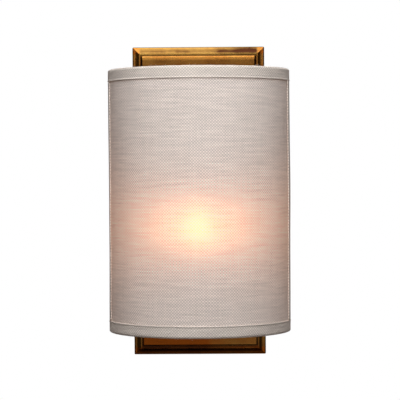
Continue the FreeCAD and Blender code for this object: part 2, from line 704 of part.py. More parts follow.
def bulb_tip():
    """The solder tip that meets the centre contact."""
    dome_r = (TIP_R ** 2 + TIP_DOME_H ** 2) / (2 * TIP_DOME_H)
    half_turn = math.degrees(math.asin(TIP_R / dome_r)) / 2
    dome = turned((0, TIP_Z), (on_arc((0, TIP_Z + dome_r), dome_r, half_turn - 90),
                               (TIP_R, TIP_Z + TIP_DOME_H)),
                  (TIP_R, TIP_Z + TIP_H), (0, TIP_Z + TIP_H))
    return about_lamp_axis(dome)


def bulb_stem():
    """The pressed glass stem that carries the filament."""
    foot = CAP_Z + CAP_CONE_H
    flare = CAP_TOP_Z + STEM_FLARE_H
    stem = turned((0, foot), (STEM_R, foot), (STEM_R, CAP_TOP_Z), (STEM_ROD_R, flare),
                  (STEM_ROD_R, LIGHT_Z - STEM_BELOW_LIGHT), (0, LIGHT_Z - STEM_BELOW_LIGHT))
    return about_lamp_axis(stem)


def bulb_filament():
    """The lead-in wires and the arched filament between them."""
    top = LIGHT_Z - FILAMENT_SPREAD / 2
    root_z = LIGHT_Z - STEM_BELOW_LIGHT
    arch_r = FILAMENT_SPREAD
    profile = Part.Wire(Part.makeCircle(FILAMENT_R, at(arch_r, LAMP_DEPTH, top), UP))
    arch = Part.Face(profile).revolve(at(0, LAMP_DEPTH, top), ROOM, -180)
    pieces = []
    for side in (-1, 1):
        start = at(side * (STEM_ROD_R - LEAD_WIRE_R), LAMP_DEPTH, root_z)
        end = at(side * arch_r, LAMP_DEPTH, top)
        pieces.append(Part.makeCylinder(LEAD_WIRE_R, (end - start).Length, start, end - start))
    return arch.fuse(pieces).cut(bulb_stem())


# --- shade ---

def onto_shade_axis(shape, half_angle):
    """Turns a shape that was swept from azimuth 0 so that it is centred on the room side."""
    shape = shape.copy()
    shape.rotate(ORIGIN, UP, -90 - half_angle)
    shape.translate(at(0, SHADE_AXIS_DEPTH, 0))
    return shape


def bent_sheet(outer_r, thickness, half_height):
    """A sheet bent to an arc about the shade's axis."""
    section = wire(FreeCAD.Vector(outer_r, 0, -half_height),
                   FreeCAD.Vector(outer_r, 0, half_height),
                   FreeCAD.Vector(outer_r - thickness, 0, half_height),
                   FreeCAD.Vector(outer_r - thickness, 0, -half_height))
    swept = Part.Face(section).revolve(ORIGIN, UP, 2 * HALF_ANGLE)
    return onto_shade_axis(swept, HALF_ANGLE)


def shade_fabric():
    """The linen face of the shade."""
    return bent_sheet(FABRIC_R, FABRIC_T, FOLD_Z)


def shade_liner():
    """The stiff translucent sheet that the linen is bonded to."""
    return bent_sheet(LINER_R, LINER_T, FOLD_Z)


def fold_fill(radius, outer_leg, inner_leg):
    """The space inside a folded tape along the top edge, with rounded ends."""
    axis = FOLD_AXIS_R
    low = SHADE_H / 2 - outer_leg
    inner_low = SHADE_H / 2 - inner_leg

    def half(sign, bottom):
        slant = radius * math.sqrt(0.5)
        return Part.Face(wire(
            FreeCAD.Vector(axis, 0, bottom), FreeCAD.Vector(axis + sign * radius, 0, bottom),
            FreeCAD.Vector(axis + sign * radius, 0, FOLD_Z),
            (FreeCAD.Vector(axis + sign * slant, 0, FOLD_Z + slant),
             FreeCAD.Vector(axis, 0, FOLD_Z + radius))))

    outside = half(1, low)
    swept = outside.revolve(ORIGIN, UP, 2 * HALF_ANGLE)
    swept = swept.fuse(half(-1, inner_low).revolve(ORIGIN, UP, 2 * HALF_ANGLE))
    end = outside.revolve(FreeCAD.Vector(axis, 0, 0), UP, -180)
    ends = both_sides(onto_shade_axis(end, HALF_ANGLE))
    return onto_shade_axis(swept, HALF_ANGLE).fuse(ends).removeSplitter()


def strap_notch():
    """The cut in the tape's inner leg that lets the strap through to the hoop."""
    slab = block(-SHADE_R, SHADE_R, STRAP_DEPTH - NOTCH_CLEAR,
                 STRAP_DEPTH + STRAP_T + NOTCH_CLEAR,
                 STRAP_TOP_Z - STRAP_W - CUT, STRAP_TOP_Z + NOTCH_CLEAR)
    inside = Part.makeCylinder(FOLD_AXIS_R, SHADE_H, at(0, SHADE_AXIS_DEPTH, 0))
    return slab.common(inside)


def rim_tape():
    """The tape folded over the hoop, along the top edge."""
    tape = fold_fill(FOLD_R, TAPE_W, TAPE_TURN_IN)
    hollow = fold_fill(FOLD_R - TAPE_T, TAPE_W + CUT, TAPE_TURN_IN + CUT)
    return tape.cut([hollow, strap_notch()])


def side_tape():
    """The tape folded round the right-hand side wire, between the rim tapes."""
    def polar(radius, angle):
        turn = math.radians(angle)
        return at(radius * math.sin(turn), SHADE_AXIS_DEPTH + radius * math.cos(turn),
                  -SIDE_TAPE_Z)

    def leg_angle(length, radius):
        return HALF_ANGLE - math.degrees((length - FOLD_R) / radius)

    def mid(first, second):
        return (first + second) / 2

    outer = SHADE_R
    inner = SHADE_R - 2 * FOLD_R
    front = leg_angle(TAPE_W, outer)
    turn_in = leg_angle(TAPE_TURN_IN, inner)
    axis = polar(FOLD_AXIS_R, HALF_ANGLE)
    back = FreeCAD.Vector(math.cos(math.radians(HALF_ANGLE)),
                          math.sin(math.radians(HALF_ANGLE)), 0)
    hollow_r = FOLD_R - TAPE_T
    outline = wire(
        polar(outer, front),
        (polar(outer, mid(front, HALF_ANGLE)), polar(outer, HALF_ANGLE)),
        (axis + back * FOLD_R, polar(inner, HALF_ANGLE)),
        (polar(inner, mid(turn_in, HALF_ANGLE)), polar(inner, turn_in)),
        polar(inner + TAPE_T, turn_in),
        (polar(inner + TAPE_T, mid(turn_in, HALF_ANGLE)), polar(inner + TAPE_T, HALF_ANGLE)),
        (axis + back * hollow_r, polar(outer - TAPE_T, HALF_ANGLE)),
        (polar(outer - TAPE_T, mid(front, HALF_ANGLE)), polar(outer - TAPE_T, front)))
    return Part.Face(outline).extrude(UP * 2 * SIDE_TAPE_Z)


def hoop():
    """The wire bent along the top edge."""
    profile = Part.Wire(Part.makeCircle(WIRE_R, FreeCAD.Vector(WIRE_AXIS_R, 0, FOLD_Z),
                                        FreeCAD.Vector(0, 1, 0)))
    return onto_shade_axis(Part.Face(profile).revolve(ORIGIN, UP, 2 * HALF_ANGLE), HALF_ANGLE)


def side_wire():
    """The upright wire in the right-hand edge, welded between the hoops."""
    turn = math.radians(HALF_ANGLE)
    reach = FOLD_Z - WIRE_R
    foot = at(WIRE_AXIS_R * math.sin(turn),
              SHADE_AXIS_DEPTH + WIRE_AXIS_R * math.cos(turn), -reach)
    return Part.makeCylinder(WIRE_R, 2 * reach, foot)


def shade_strap():
    """The flat strap across the shade, welded under the top hoop and slotted for its post."""
    bar = block(-SHADE_R, SHADE_R, STRAP_DEPTH, STRAP_DEPTH + STRAP_T,
                STRAP_TOP_Z - STRAP_W, STRAP_TOP_Z)
    reach = Part.makeCylinder(WIRE_AXIS_R + WIRE_R, SHADE_H, at(0, SHADE_AXIS_DEPTH, 0))
    slot = slot_prism(HOLE_R, STRAP_SLOT_LEN, STRAP_DEPTH - CUT, STRAP_DEPTH + STRAP_T + CUT,
                      0, POST_Z)
    return bar.common(reach).cut(slot)


def thumb_washer():
    """The washer under the upper thumb nut."""
    disc = turned((SCREW_R + WASHER_FIT, 0), (WASHER_R, 0), (WASHER_R, WASHER_T),
                  (SCREW_R + WASHER_FIT, WASHER_T))
    return facing_room(disc, 0, WASHER_DEPTH, POST_Z)


def thumb_nut():
    """The upper thumb nut: a fluted head on a plain hub."""
    bore_r = SCREW_R + THREAD_FIT
    top = THUMB_HUB_H + THUMB_NUT_H
    head = turned((bore_r, 0), (THUMB_HUB_R, 0), (THUMB_HUB_R, THUMB_HUB_H),
                  (THUMB_NUT_R - THUMB_CHAMFER, THUMB_HUB_H),
                  (THUMB_NUT_R, THUMB_HUB_H + THUMB_CHAMFER), (THUMB_NUT_R, top - THUMB_CHAMFER),
                  (THUMB_NUT_R - THUMB_CHAMFER, top), (bore_r, top))
    flutes = []
    for k in range(FLUTES):
        turn = math.radians(360 * k / FLUTES)
        spot = FreeCAD.Vector(THUMB_NUT_R * math.cos(turn), THUMB_NUT_R * math.sin(turn),
                              THUMB_HUB_H - CUT)
        flutes.append(Part.makeCylinder(FLUTE_R, THUMB_NUT_H + 2 * CUT, spot))
    return facing_room(head.cut(Part.makeCompound(flutes)), 0, THUMB_DEPTH, POST_Z)


def write(name, shape):
    """Writes one sub-part, after checking that its solids are sound."""
    if not shape.isValid() or not shape.Solids:
        raise ValueError(name + " is not a sound solid")
    shape.exportStep(os.path.join("parts", name + ".step"))


def main():
    os.makedirs("parts", exist_ok=True)
    single = [backplate_pan, face_panel, mounting_strap, plate_studs, strap_nuts, cap_nuts,
              ground_screw, shade_posts, back_nuts, lamp_bracket, bracket_screws, lead_bushing,
              holder_body, terminal_screws, holder_shell, holder_contact, holder_nipple,
              holder_locknuts, bulb_glass, bulb_cap, bulb_insulator, bulb_tip, bulb_stem,
              bulb_filament, shade_fabric, shade_liner]
    for make in single:
        write(make.__name__, make())
    upper_and_lower = {"rim_tape": rim_tape, "hoop": hoop, "strap": shade_strap,
                       "thumb_washer": thumb_washer, "thumb_nut": thumb_nut}
    for name, make in upper_and_lower.items():
        for place, shape in zip(("top_", "bottom_"), top_and_bottom(make())):
            write(place + name, shape)
    for name, make in {"side_tape": side_tape, "side_wire": side_wire}.items():
        for place, shape in zip(("right_", "left_"), both_sides(make())):
            write(place + name, shape)


main()
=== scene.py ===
import math
from functools import reduce

import bpy
import numpy as np
from bpy.props import FloatProperty, FloatVectorProperty, IntProperty, PointerProperty
from mathutils import Matrix, Vector


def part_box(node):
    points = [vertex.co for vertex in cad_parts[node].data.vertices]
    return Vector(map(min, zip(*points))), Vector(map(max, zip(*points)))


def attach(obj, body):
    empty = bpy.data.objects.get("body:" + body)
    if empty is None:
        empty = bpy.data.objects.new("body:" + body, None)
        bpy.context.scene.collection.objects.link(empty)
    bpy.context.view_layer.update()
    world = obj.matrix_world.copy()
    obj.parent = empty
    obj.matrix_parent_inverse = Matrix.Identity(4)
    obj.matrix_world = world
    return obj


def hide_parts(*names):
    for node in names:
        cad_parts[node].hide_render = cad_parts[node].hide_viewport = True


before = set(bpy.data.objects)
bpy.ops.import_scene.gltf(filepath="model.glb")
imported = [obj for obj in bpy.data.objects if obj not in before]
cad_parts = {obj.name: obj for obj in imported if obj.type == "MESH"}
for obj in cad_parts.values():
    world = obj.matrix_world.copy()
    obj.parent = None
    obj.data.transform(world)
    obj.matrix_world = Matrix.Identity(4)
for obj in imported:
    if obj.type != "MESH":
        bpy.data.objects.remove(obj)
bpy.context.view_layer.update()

bl_info = {
    "name": "Linen shade wall light",
    "version": (1, 0, 0),
    "blender": (4, 5, 0),
    "location": "View3D > Sidebar > Wall light",
    "description": "Dresses a wall light: linen shade, aged brass plate, lamp and studio",
    "category": "Object",
}


# --- places worked out from the frame ---

HOOP_LOW, HOOP_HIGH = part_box("top_hoop")
RIM_LOW, RIM_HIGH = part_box("top_rim_tape")
STRAP_LOW, STRAP_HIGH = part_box("top_strap")
PLATE_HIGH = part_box("backplate_pan")[1]
PANEL_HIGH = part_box("face_panel")[1]
FILAMENT_LOW, FILAMENT_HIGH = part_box("bulb_filament")
LAMP = (FILAMENT_LOW + FILAMENT_HIGH) / 2

WIRE_R = (HOOP_HIGH.z - HOOP_LOW.z) / 2
FOLD_Z = HOOP_HIGH.z - WIRE_R
FOLD_R = RIM_HIGH.z - FOLD_Z
RIM_Z = RIM_HIGH.z
TAPE_LEG = RIM_HIGH.z - RIM_LOW.z
SIDE_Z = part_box("right_side_tape")[1].z

# The folded edges follow one arc. Its rise over its half chord is the tangent of a quarter
# of the arc's whole angle, which gives its radius and then its axis.
ARC_RISE = RIM_HIGH.y - RIM_LOW.y - 2 * FOLD_R
ARC_HALF_CHORD = RIM_HIGH.x - FOLD_R
HALF_ANGLE = 2 * math.atan(ARC_RISE / ARC_HALF_CHORD)
FOLD_AXIS_R = ARC_HALF_CHORD / math.sin(HALF_ANGLE)
SHADE_R = FOLD_AXIS_R + FOLD_R
AXIS_Y = RIM_LOW.y + SHADE_R

# Layers of the shade, which the frame's boxes don't give.
TAPE_T = 0.0006
LINEN_T = 0.0007
LINER_T = 0.0004
GLUE_GAP = 0.0001
TURN_IN = 0.008
NOTCH_CLEAR = 0.0003
HEM_T = 0.0004
HEM_W = 0.0018
HEM_FADE = 0.0008
PAINTED_HEM_W = 0.0015
FIBRE_R = 0.00006
LINEN_R = SHADE_R - TAPE_T - GLUE_GAP
LINER_R = LINEN_R - LINEN_T - GLUE_GAP

# The width of the rubbed edge in the brass, and how high the fine marks of materials stand.
RUB_W = 0.0012
THREAD_H = 0.00012
BRUSH_H = 0.000015
TOOL_H = 0.00002
PEEL_H = 0.00003

# The soft lamps, which face the part's middle: place, width and height, and power in watts.
SOFTBOXES = (("key_softbox", (0, -0.88, 0.82), (0.84, 1.2), 12.6),
             ("top_softbox", (0, -0.45, 1.4), (1.6, 0.8), 4.5),
             ("fill_softbox", (0.4, -3.0, 0.3), (3.0, 2.0), 8))


# --- what a user would change ---

METRES = {"unit": "LENGTH", "subtype": "DISTANCE"}
COLOUR = {"subtype": "COLOR", "min": 0, "max": 1}
FRACTION = {"subtype": "FACTOR", "min": 0, "max": 1}


class ClothSettings(bpy.types.PropertyGroup):
    """The linen, its tape and how evenly they lie."""
    linen: FloatVectorProperty(
        name="Linen", description="Colour of the undyed linen",
        default=(0.83, 0.756, 0.708), **COLOUR)
    tape: FloatVectorProperty(
        name="Tape", description="Colour of the linen tape on the edges",
        default=(0.79, 0.715, 0.65), **COLOUR)
    pitch: FloatProperty(
        name="Thread pitch", description="Distance from one thread to the next",
        default=0.00165, **METRES, min=0.0003)
    slub: FloatProperty(
        name="Slubs", description="How much the threads differ in tone",
        default=0.38, **FRACTION)
    check: FloatProperty(
        name="Check", description="How much paler the weft is than the warp",
        default=0.28, **FRACTION)
    bow_right: FloatProperty(
        name="Bow", description="How far the cloth stands out at the right-hand edge",
        default=0.0004, **METRES)
    ripple: FloatProperty(
        name="Ripple", description="Height of the slow waves in the cloth",
        default=0.00012, **METRES)
    fibres: IntProperty(
        name="Loose fibres", description="Fibres that stand out along the edges",
        default=420, min=0)


class BrassSettings(bpy.types.PropertyGroup):
    """The aged brass of the plate and its nuts."""
    bright: FloatVectorProperty(
        name="Bright brass", description="Colour where the brass is rubbed bright",
        default=(0.62, 0.36, 0.08), **COLOUR)
    # On the pan and the panel, the aged colour and the dark finish also serve as painted shade.
    aged: FloatVectorProperty(
        name="Aged brass", description="Colour where the brass has turned brown",
        default=(0.45, 0.10, 0.005), **COLOUR)
    dark: FloatVectorProperty(
        name="Dark finish", description="Colour of the dark finish in the recesses",
        default=(0.03, 0.007, 0.0008), **COLOUR)
    grain: FloatProperty(
        name="Brush mark", description="Width of one brush mark",
        default=0.0004, **METRES, min=0.0001)


class GlowSettings(bpy.types.PropertyGroup):
    """The light of the lamp in the cloth."""
    halo: FloatVectorProperty(
        name="Halo", description="Light that reaches the cloth straight in front of the lamp",
        default=(0.9, 0.3, 0.064), subtype="COLOR", min=0, max=2)
    core: FloatVectorProperty(
        name="Core", description="Light of the lamp itself through the weave",
        default=(0.3, 0.17, 0.05), subtype="COLOR", min=0, max=2)
    core_width: FloatProperty(
        name="Core width", description="Half width of the hot spot",
        default=0.015, **METRES, min=0.001)
    lift: FloatProperty(
        name="Lift", description="How far the glow lies above the middle of the filament",
        default=0.008, **METRES)
    back: FloatProperty(
        name="Back", description="How far the glow lies behind the lamp, as the plate throws "
        "light back", default=0.004, **METRES)
    spill: FloatProperty(
        name="Spill", description="Share of the halo that is thrown about inside the shade",
        default=0.04, **FRACTION)
    core_height: FloatProperty(
        name="Core height", description="Half height of the hot spot",
        default=0.024, **METRES, min=0.001)


class StudioSettings(bpy.types.PropertyGroup):
    """Camera and lamps of the studio."""
    camera_x: FloatProperty(
        name="Camera to the right", description="Sideways place of the camera",
        default=0.0279, **METRES)
    camera_distance: FloatProperty(
        name="Camera distance", description="From the wall to the camera",
        default=2.1, **METRES, min=0.5)
    camera_z: FloatProperty(
        name="Camera height", description="Above the middle of the plate",
        default=0.0385, **METRES)
    aim_x: FloatProperty(
        name="Aim to the right", description="Sideways place of the point aimed at",
        default=0.0007, **METRES)
    aim_z: FloatProperty(
        name="Aim height", description="Height of the point aimed at",
        default=0.0006, **METRES)
    roll: FloatProperty(
        name="Roll", description="Turn of the camera about its own axis",
        default=-0.0065, unit="ROTATION", subtype="ANGLE")
    lens: FloatProperty(
        name="Lens", description="Focal length on a 36 mm sensor",
        default=162.0, min=20, max=400)
    floor_drop: FloatProperty(
        name="Floor", description="From the middle of the plate down to the floor",
        default=1.2, **METRES, min=0.3)


def settings():
    """The four groups of settings, kept on the scene."""
    return bpy.context.scene.wall_light


class WallLightSettings(bpy.types.PropertyGroup):
    """All settings of the wall light."""
    cloth: PointerProperty(type=ClothSettings)
    brass: PointerProperty(type=BrassSettings)
    glow: PointerProperty(type=GlowSettings)
    studio: PointerProperty(type=StudioSettings)


# --- surfaces worked out with numpy ---

def bow(angle, height):
    """How far the cloth stands out from its arc. It is (1 - (z / h)^2)^2, nil at the hoops,
    times a width that grows towards the right with the sine of the angle, and times slow
    ripples made of three sine waves."""
    cloth = settings().cloth
    share = np.clip(1 - (height / FOLD_Z) ** 2, 0, 1) ** 2
    width = cloth.bow_right * np.sin(angle)
    waves = (np.sin(9 * angle + 31 * height) + np.sin(5 * angle - 47 * height + 1.3)
             + np.sin(14 * angle + 12 * height + 0.6))
    return share * (width + cloth.ripple * waves)


def on_arc(angle, radius, height):
    """Points about the shade's upright axis: x = r sin(a) and y = axis - r cos(a), where a is
    the turn from the room side and r is the radius and the bow together."""
    reach = radius + bow(angle, height)
    parts = np.broadcast_arrays(reach * np.sin(angle), AXIS_Y - reach * np.cos(angle), height)
    return np.stack(parts, axis=-1)


def ribbon(face, thickness):
    """A closed strip round an open line of 2-D points: the line, a round nose at each end, and
    the line again, moved to its left by the thickness at each point. Point i faces point
    n - 1 - i. Also gives each point's distance along the line, for the weave."""
    along = np.gradient(face, axis=0)
    along /= np.linalg.norm(along, axis=1, keepdims=True)
    left = np.stack([-along[:, 1], along[:, 0]], axis=1)
    turn = np.radians([22.5, 67.5])[:, None]

    def nose(place, ahead, aside, depth):
        """Both halves of a half circle, from the strip's two faces to its tip."""
        tip = place + depth / 2 * np.sin(turn) * ahead
        inset = depth / 2 * (1 - np.cos(turn)) * aside
        return tip + inset, tip + depth * aside - inset

    start = nose(face[0], -along[0], left[0], thickness[0])
    end = nose(face[-1], along[-1], left[-1], thickness[-1])
    front = np.concatenate([start[0][::-1], face, end[0]])
    back = np.concatenate([start[1][::-1], face + left * thickness[:, None], end[1]])
    run = np.concatenate([[0], np.cumsum(np.linalg.norm(np.diff(front, axis=0), axis=1))])
    return np.concatenate([front, back[::-1]]), np.concatenate([run, run[::-1]])


def shell(rings, uv):
    """A closed shell over equal rings of points: ring i joins ring i + 1, and each end ring is
    closed by a ladder of faces between its facing points. Faces point outwards, which the sign
    of the enclosed volume tells."""
    rows, count = rings.shape[:2]
    index = np.arange(rows * count).reshape(rows, count)
    after = np.roll(index, -1, axis=1)
    sides = np.stack([index[:-1], after[:-1], after[1:], index[1:]], axis=-1).reshape(-1, 4)
    rung = np.arange(count // 2 - 1)

    def ladder(ring):
        corners = [ring[rung], ring[rung + 1], ring[count - 2 - rung], ring[count - 1 - rung]]
        return np.stack(corners, axis=-1)

    faces = np.concatenate([sides, ladder(index[0])[:, ::-1], ladder(index[-1])])
    points = rings.reshape(-1, 3)
    a, b, c, d = (points[faces[:, k]] for k in range(4))
    volume = np.einsum("ij,ij->", a, np.cross(b, c)) + np.einsum("ij,ij->", a, np.cross(c, d))
    if volume < 0:
        faces = faces[:, ::-1]
    return points, faces, uv.reshape(-1, 2)


def linked(name, data):
    """A new object in the scene."""
    made = bpy.data.objects.new(name, data)
    bpy.context.scene.collection.objects.link(made)
    return made


def mesh_object(name, *shells):
    """A smooth object from closed shells: their points, faces and UV places in one mesh."""
    starts = np.cumsum([0] + [len(points) for points, _, _ in shells[:-1]])
    points = np.concatenate([points for points, _, _ in shells])
    faces = np.concatenate([faces + start for (_, faces, _), start in zip(shells, starts)])
    uv = np.concatenate([uv for _, _, uv in shells])
    mesh = bpy.data.meshes.new(name)
    mesh.from_pydata(points.tolist(), [], faces.tolist())
    corners = np.empty(len(mesh.loops), dtype=np.int32)
    mesh.loops.foreach_get("vertex_index", corners)
    layer = mesh.uv_layers.new(name="weave")
    layer.data.foreach_set("uv", uv[corners].astype(np.float32).ravel())
    mesh.shade_smooth()
    mesh.validate()
    return linked(name, mesh)


# --- shader helpers ---

def feed(tree, sockets, values):
    """Links sockets to outputs or sets their values. A colour gets its alpha."""
    for key, value in values.items():
        if isinstance(value, bpy.types.NodeSocket):
            tree.links.new(value, sockets[key])
        elif isinstance(value, (int, float)):
            sockets[key].default_value = value
        else:
            sockets[key].default_value = (*value, 1.0)[:len(sockets[key].default_value)]


def add(tree, kind, inputs=None, **options):
    """Adds a node: options are its properties, inputs are sockets to link or values."""
    made = tree.nodes.new(kind)
    for name, value in options.items():
        setattr(made, name, value)
    feed(tree, made.inputs, inputs or {})
    return made


def calc(tree, operation, *values):
    """The output of a Math node."""
    return add(tree, "ShaderNodeMath", dict(enumerate(values)), operation=operation).outputs[0]


def clamped(tree, value):
    """A value kept between 0 and 1."""
    made = add(tree, "ShaderNodeMath", {0: value, 1: 0.0}, operation="ADD", use_clamp=True)
    return made.outputs[0]


def product(tree, *values):
    """Values multiplied."""
    return reduce(lambda made, value: calc(tree, "MULTIPLY", made, value), values)


def total(tree, *values):
    """Values added."""
    return reduce(lambda made, value: calc(tree, "ADD", made, value), values)


def rest(tree, share):
    """What a share leaves of 1."""
    return calc(tree, "SUBTRACT", 1.0, share)


def spread(tree, value, low, high, new_low=0.0, new_high=1.0):
    """A value taken smoothly from one range to another."""
    inputs = {"Value": value, "From Min": low, "From Max": high, "To Min": new_low,
              "To Max": new_high}
    return add(tree, "ShaderNodeMapRange", inputs, interpolation_type="SMOOTHSTEP").outputs[0]


def blend(tree, share, first, second):
    """A colour between two colours."""
    inputs = {0: share, 6: first, 7: second}
    return add(tree, "ShaderNodeMix", inputs, data_type="RGBA").outputs[2]


def vector(tree, operation, *values, output="Vector", **named):
    """An output of a Vector Math node."""
    inputs = {**dict(enumerate(values)), **named}
    return add(tree, "ShaderNodeVectorMath", inputs, operation=operation).outputs[output]


def scaled(tree, colour, strength):
    """A colour times a value."""
    return vector(tree, "SCALE", colour, Scale=strength)


def split(tree, value):
    """The x, y and z of a vector."""
    return add(tree, "ShaderNodeSeparateXYZ", {0: value}).outputs


def noise(tree, place, scale, detail=2.0, rough=0.5):
    """Noise between 0 and 1."""
    inputs = {"Vector": place, "Scale": scale, "Detail": detail, "Roughness": rough}
    return add(tree, "ShaderNodeTexNoise", inputs).outputs["Fac"]


def group(name, inputs, outputs):
    """A node group with named sockets, its input and output nodes."""
    tree = bpy.data.node_groups.new(name, "ShaderNodeTree")
    for side, sockets in (("INPUT", inputs), ("OUTPUT", outputs)):
        for label, kind in sockets:
            tree.interface.new_socket(label, in_out=side, socket_type="NodeSocket" + kind)
    return tree, tree.nodes.new("NodeGroupInput").outputs, tree.nodes.new("NodeGroupOutput").inputs


def placed(tree, name, inputs):
    """The outputs of a group placed in a material."""
    return add(tree, "ShaderNodeGroup", inputs, node_tree=bpy.data.node_groups[name]).outputs


def emptied(holder):
    """The node tree of a material or world, with nothing in it."""
    holder.use_nodes = True
    holder.node_tree.nodes.clear()
    return holder.node_tree


def material(name):
    """An empty material with its Principled BSDF: the tree, the shader's inputs and the
    coordinates."""
    made = bpy.data.materials.new(name)
    tree = emptied(made)
    shader = tree.nodes.new("ShaderNodeBsdfPrincipled")
    add(tree, "ShaderNodeOutputMaterial", {"Surface": shader.outputs[0]})
    places = tree.nodes.new("ShaderNodeTexCoord").outputs
    return made, tree, shader.inputs, places


def bumped(tree, height, distance, strength=1.0):
    """A normal raised by a height between 0 and 1."""
    inputs = {"Height": height, "Distance": distance, "Strength": strength}
    return add(tree, "ShaderNodeBump", inputs).outputs[0]


# --- effects that several materials share ---

def build_weave():
    """Plain weave on the UV map, in metres. A thread is the rounded hump |sin| across it; one
    set lies over the other where the sum of the thread numbers is odd. Each thread has its own
    tone that drifts along it, so that some show as slubs, and the crossings are pale and dark
    by turns: the product of the two sines."""
    tree, given, result = group(
        "Woven threads", [("UV", "Vector"), ("Pitch", "Float"), ("Slub", "Float"),
                          ("Check", "Float")],
        [("Height", "Float"), ("Tone", "Float"), ("Gap", "Float")])
    parts = split(tree, given["UV"])
    wander = product(tree, noise(tree, given["UV"], 60.0, 3.0), 1.2)
    across = total(tree, calc(tree, "DIVIDE", parts[0], given["Pitch"]), wander)
    up = total(tree, calc(tree, "DIVIDE", parts[1], given["Pitch"]), wander)

    def thread(place, along, seed):
        """The wave across the threads, a thread's number and its drifting tone, which comes
        from a line of its own through the noise."""
        wave = calc(tree, "SINE", product(tree, place, math.pi))
        number = calc(tree, "FLOOR", place)
        line = add(tree, "ShaderNodeCombineXYZ",
                   {0: product(tree, number, 7.31), 1: product(tree, along, 22.0), 2: seed})
        return wave, number, noise(tree, line.outputs[0], 1.0, 2.0, 0.6)

    warp_wave, warp_number, warp_tone = thread(across, parts[1], 3.0)
    weft_wave, weft_number, weft_tone = thread(up, parts[0], 11.0)
    warp, weft = calc(tree, "ABSOLUTE", warp_wave), calc(tree, "ABSOLUTE", weft_wave)
    parity = calc(tree, "MODULO", total(tree, warp_number, weft_number), 2.0)
    over = calc(tree, "ABSOLUTE", parity)
    under = rest(tree, over)
    top = total(tree, product(tree, warp, over), product(tree, weft, under))
    low = total(tree, product(tree, weft, over), product(tree, warp, under))
    height = calc(tree, "MAXIMUM", top, product(tree, low, 0.6))
    tone = total(tree, product(tree, warp_tone, calc(tree, "MULTIPLY_ADD", over, 0.3, 0.25)),
                 product(tree, weft_tone, calc(tree, "MULTIPLY_ADD", over, -0.3, 1.4)))
    # The tone's mean is 0.825, as the noise has a mean of 0.5 and half the threads lie over.
    slub = product(tree, calc(tree, "SUBTRACT", tone, 0.825), given["Slub"])
    check = product(tree, warp_wave, weft_wave, given["Check"])
    feed(tree, result, {"Height": height, "Tone": total(tree, 1.0, slub, check),
                        "Gap": spread(tree, height, 0.55, 0.25)})


def build_brush():
    """Brush marks and slow clouding: noise squeezed across the marks, and plain noise."""
    tree, given, result = group(
        "Brushed grain", [("Vector", "Vector"), ("Squeeze", "Vector")],
        [("Grain", "Float"), ("Cloud", "Float")])
    lines = vector(tree, "MULTIPLY", given["Vector"], given["Squeeze"])
    feed(tree, result, {"Grain": noise(tree, lines, 1.0, 3.0, 0.65),
                        "Cloud": noise(tree, given["Vector"], 45.0, 4.0, 0.6)})


def build_dust():
    """Fine dust that settles on faces turned upwards, and finger smudges."""
    tree, given, result = group("Dust and smudges", [("Vector", "Vector")],
                                [("Dust", "Float"), ("Smudge", "Float")])
    up = split(tree, add(tree, "ShaderNodeNewGeometry").outputs["Normal"])[2]
    specks = noise(tree, given["Vector"], 900.0, 2.0, 0.7)
    smudges = noise(tree, given["Vector"], 30.0, 3.0)
    feed(tree, result, {
        "Dust": product(tree, spread(tree, up, 0.3, 1.0), spread(tree, specks, 0.35, 0.7)),
        "Smudge": spread(tree, smudges, 0.45, 0.7)})


def build_glow():
    """The lamp's light in the shade. The halo is the cosine to the cloth over the distance
    squared, as a share of what falls straight in front of the lamp, times the square of the
    cosine of the slope above or below the lamp, as an upright filament sends little light that
    way, plus the light thrown about inside the shade, which is even. The core is a bell curve
    over the cloth's place, wide at the lamp's belly and drawn in towards its tip."""
    glow = settings().glow
    tree, given, result = group("Lamp glow", [("Vector", "Vector")],
                                [("Halo", "Float"), ("Core", "Float")])
    source = (LAMP.x, LAMP.y + glow.back, LAMP.z + glow.lift)
    away = vector(tree, "SUBTRACT", given["Vector"], source)
    outward = vector(tree, "SUBTRACT", given["Vector"], (0, AXIS_Y, 0))
    flat = vector(tree, "MULTIPLY", outward, (1, 1, 0))
    square = vector(tree, "DOT_PRODUCT", away, away, output="Value")
    facing = vector(tree, "DOT_PRODUCT", away, flat, output="Value")
    distance = calc(tree, "SQRT", square)
    cosine = calc(tree, "DIVIDE", facing, product(tree, distance, LINEN_R))
    reach = (LAMP.y + glow.back + SHADE_R - AXIS_Y) ** 2
    level = vector(tree, "LENGTH", vector(tree, "MULTIPLY", away, (1, 1, 0)), output="Value")
    slope = calc(tree, "DIVIDE", level, distance)
    halo = product(tree, cosine, calc(tree, "DIVIDE", reach, square),
                   calc(tree, "POWER", slope, 2.0))
    parts = split(tree, away)
    rise = calc(tree, "DIVIDE", parts[2], glow.core_height)
    taper = rest(tree, product(tree, rise, 0.12))
    side = calc(tree, "DIVIDE", parts[0], product(tree, taper, glow.core_width))
    bell = total(tree, product(tree, side, side), product(tree, rise, rise))
    core = calc(tree, "EXPONENT", product(tree, bell, -1.0))
    front = spread(tree, parts[1], 0.0, -0.02)
    feed(tree, result, {"Halo": total(tree, calc(tree, "MAXIMUM", halo, 0.0), glow.spill),
                        "Core": product(tree, core, front)})


# --- materials ---

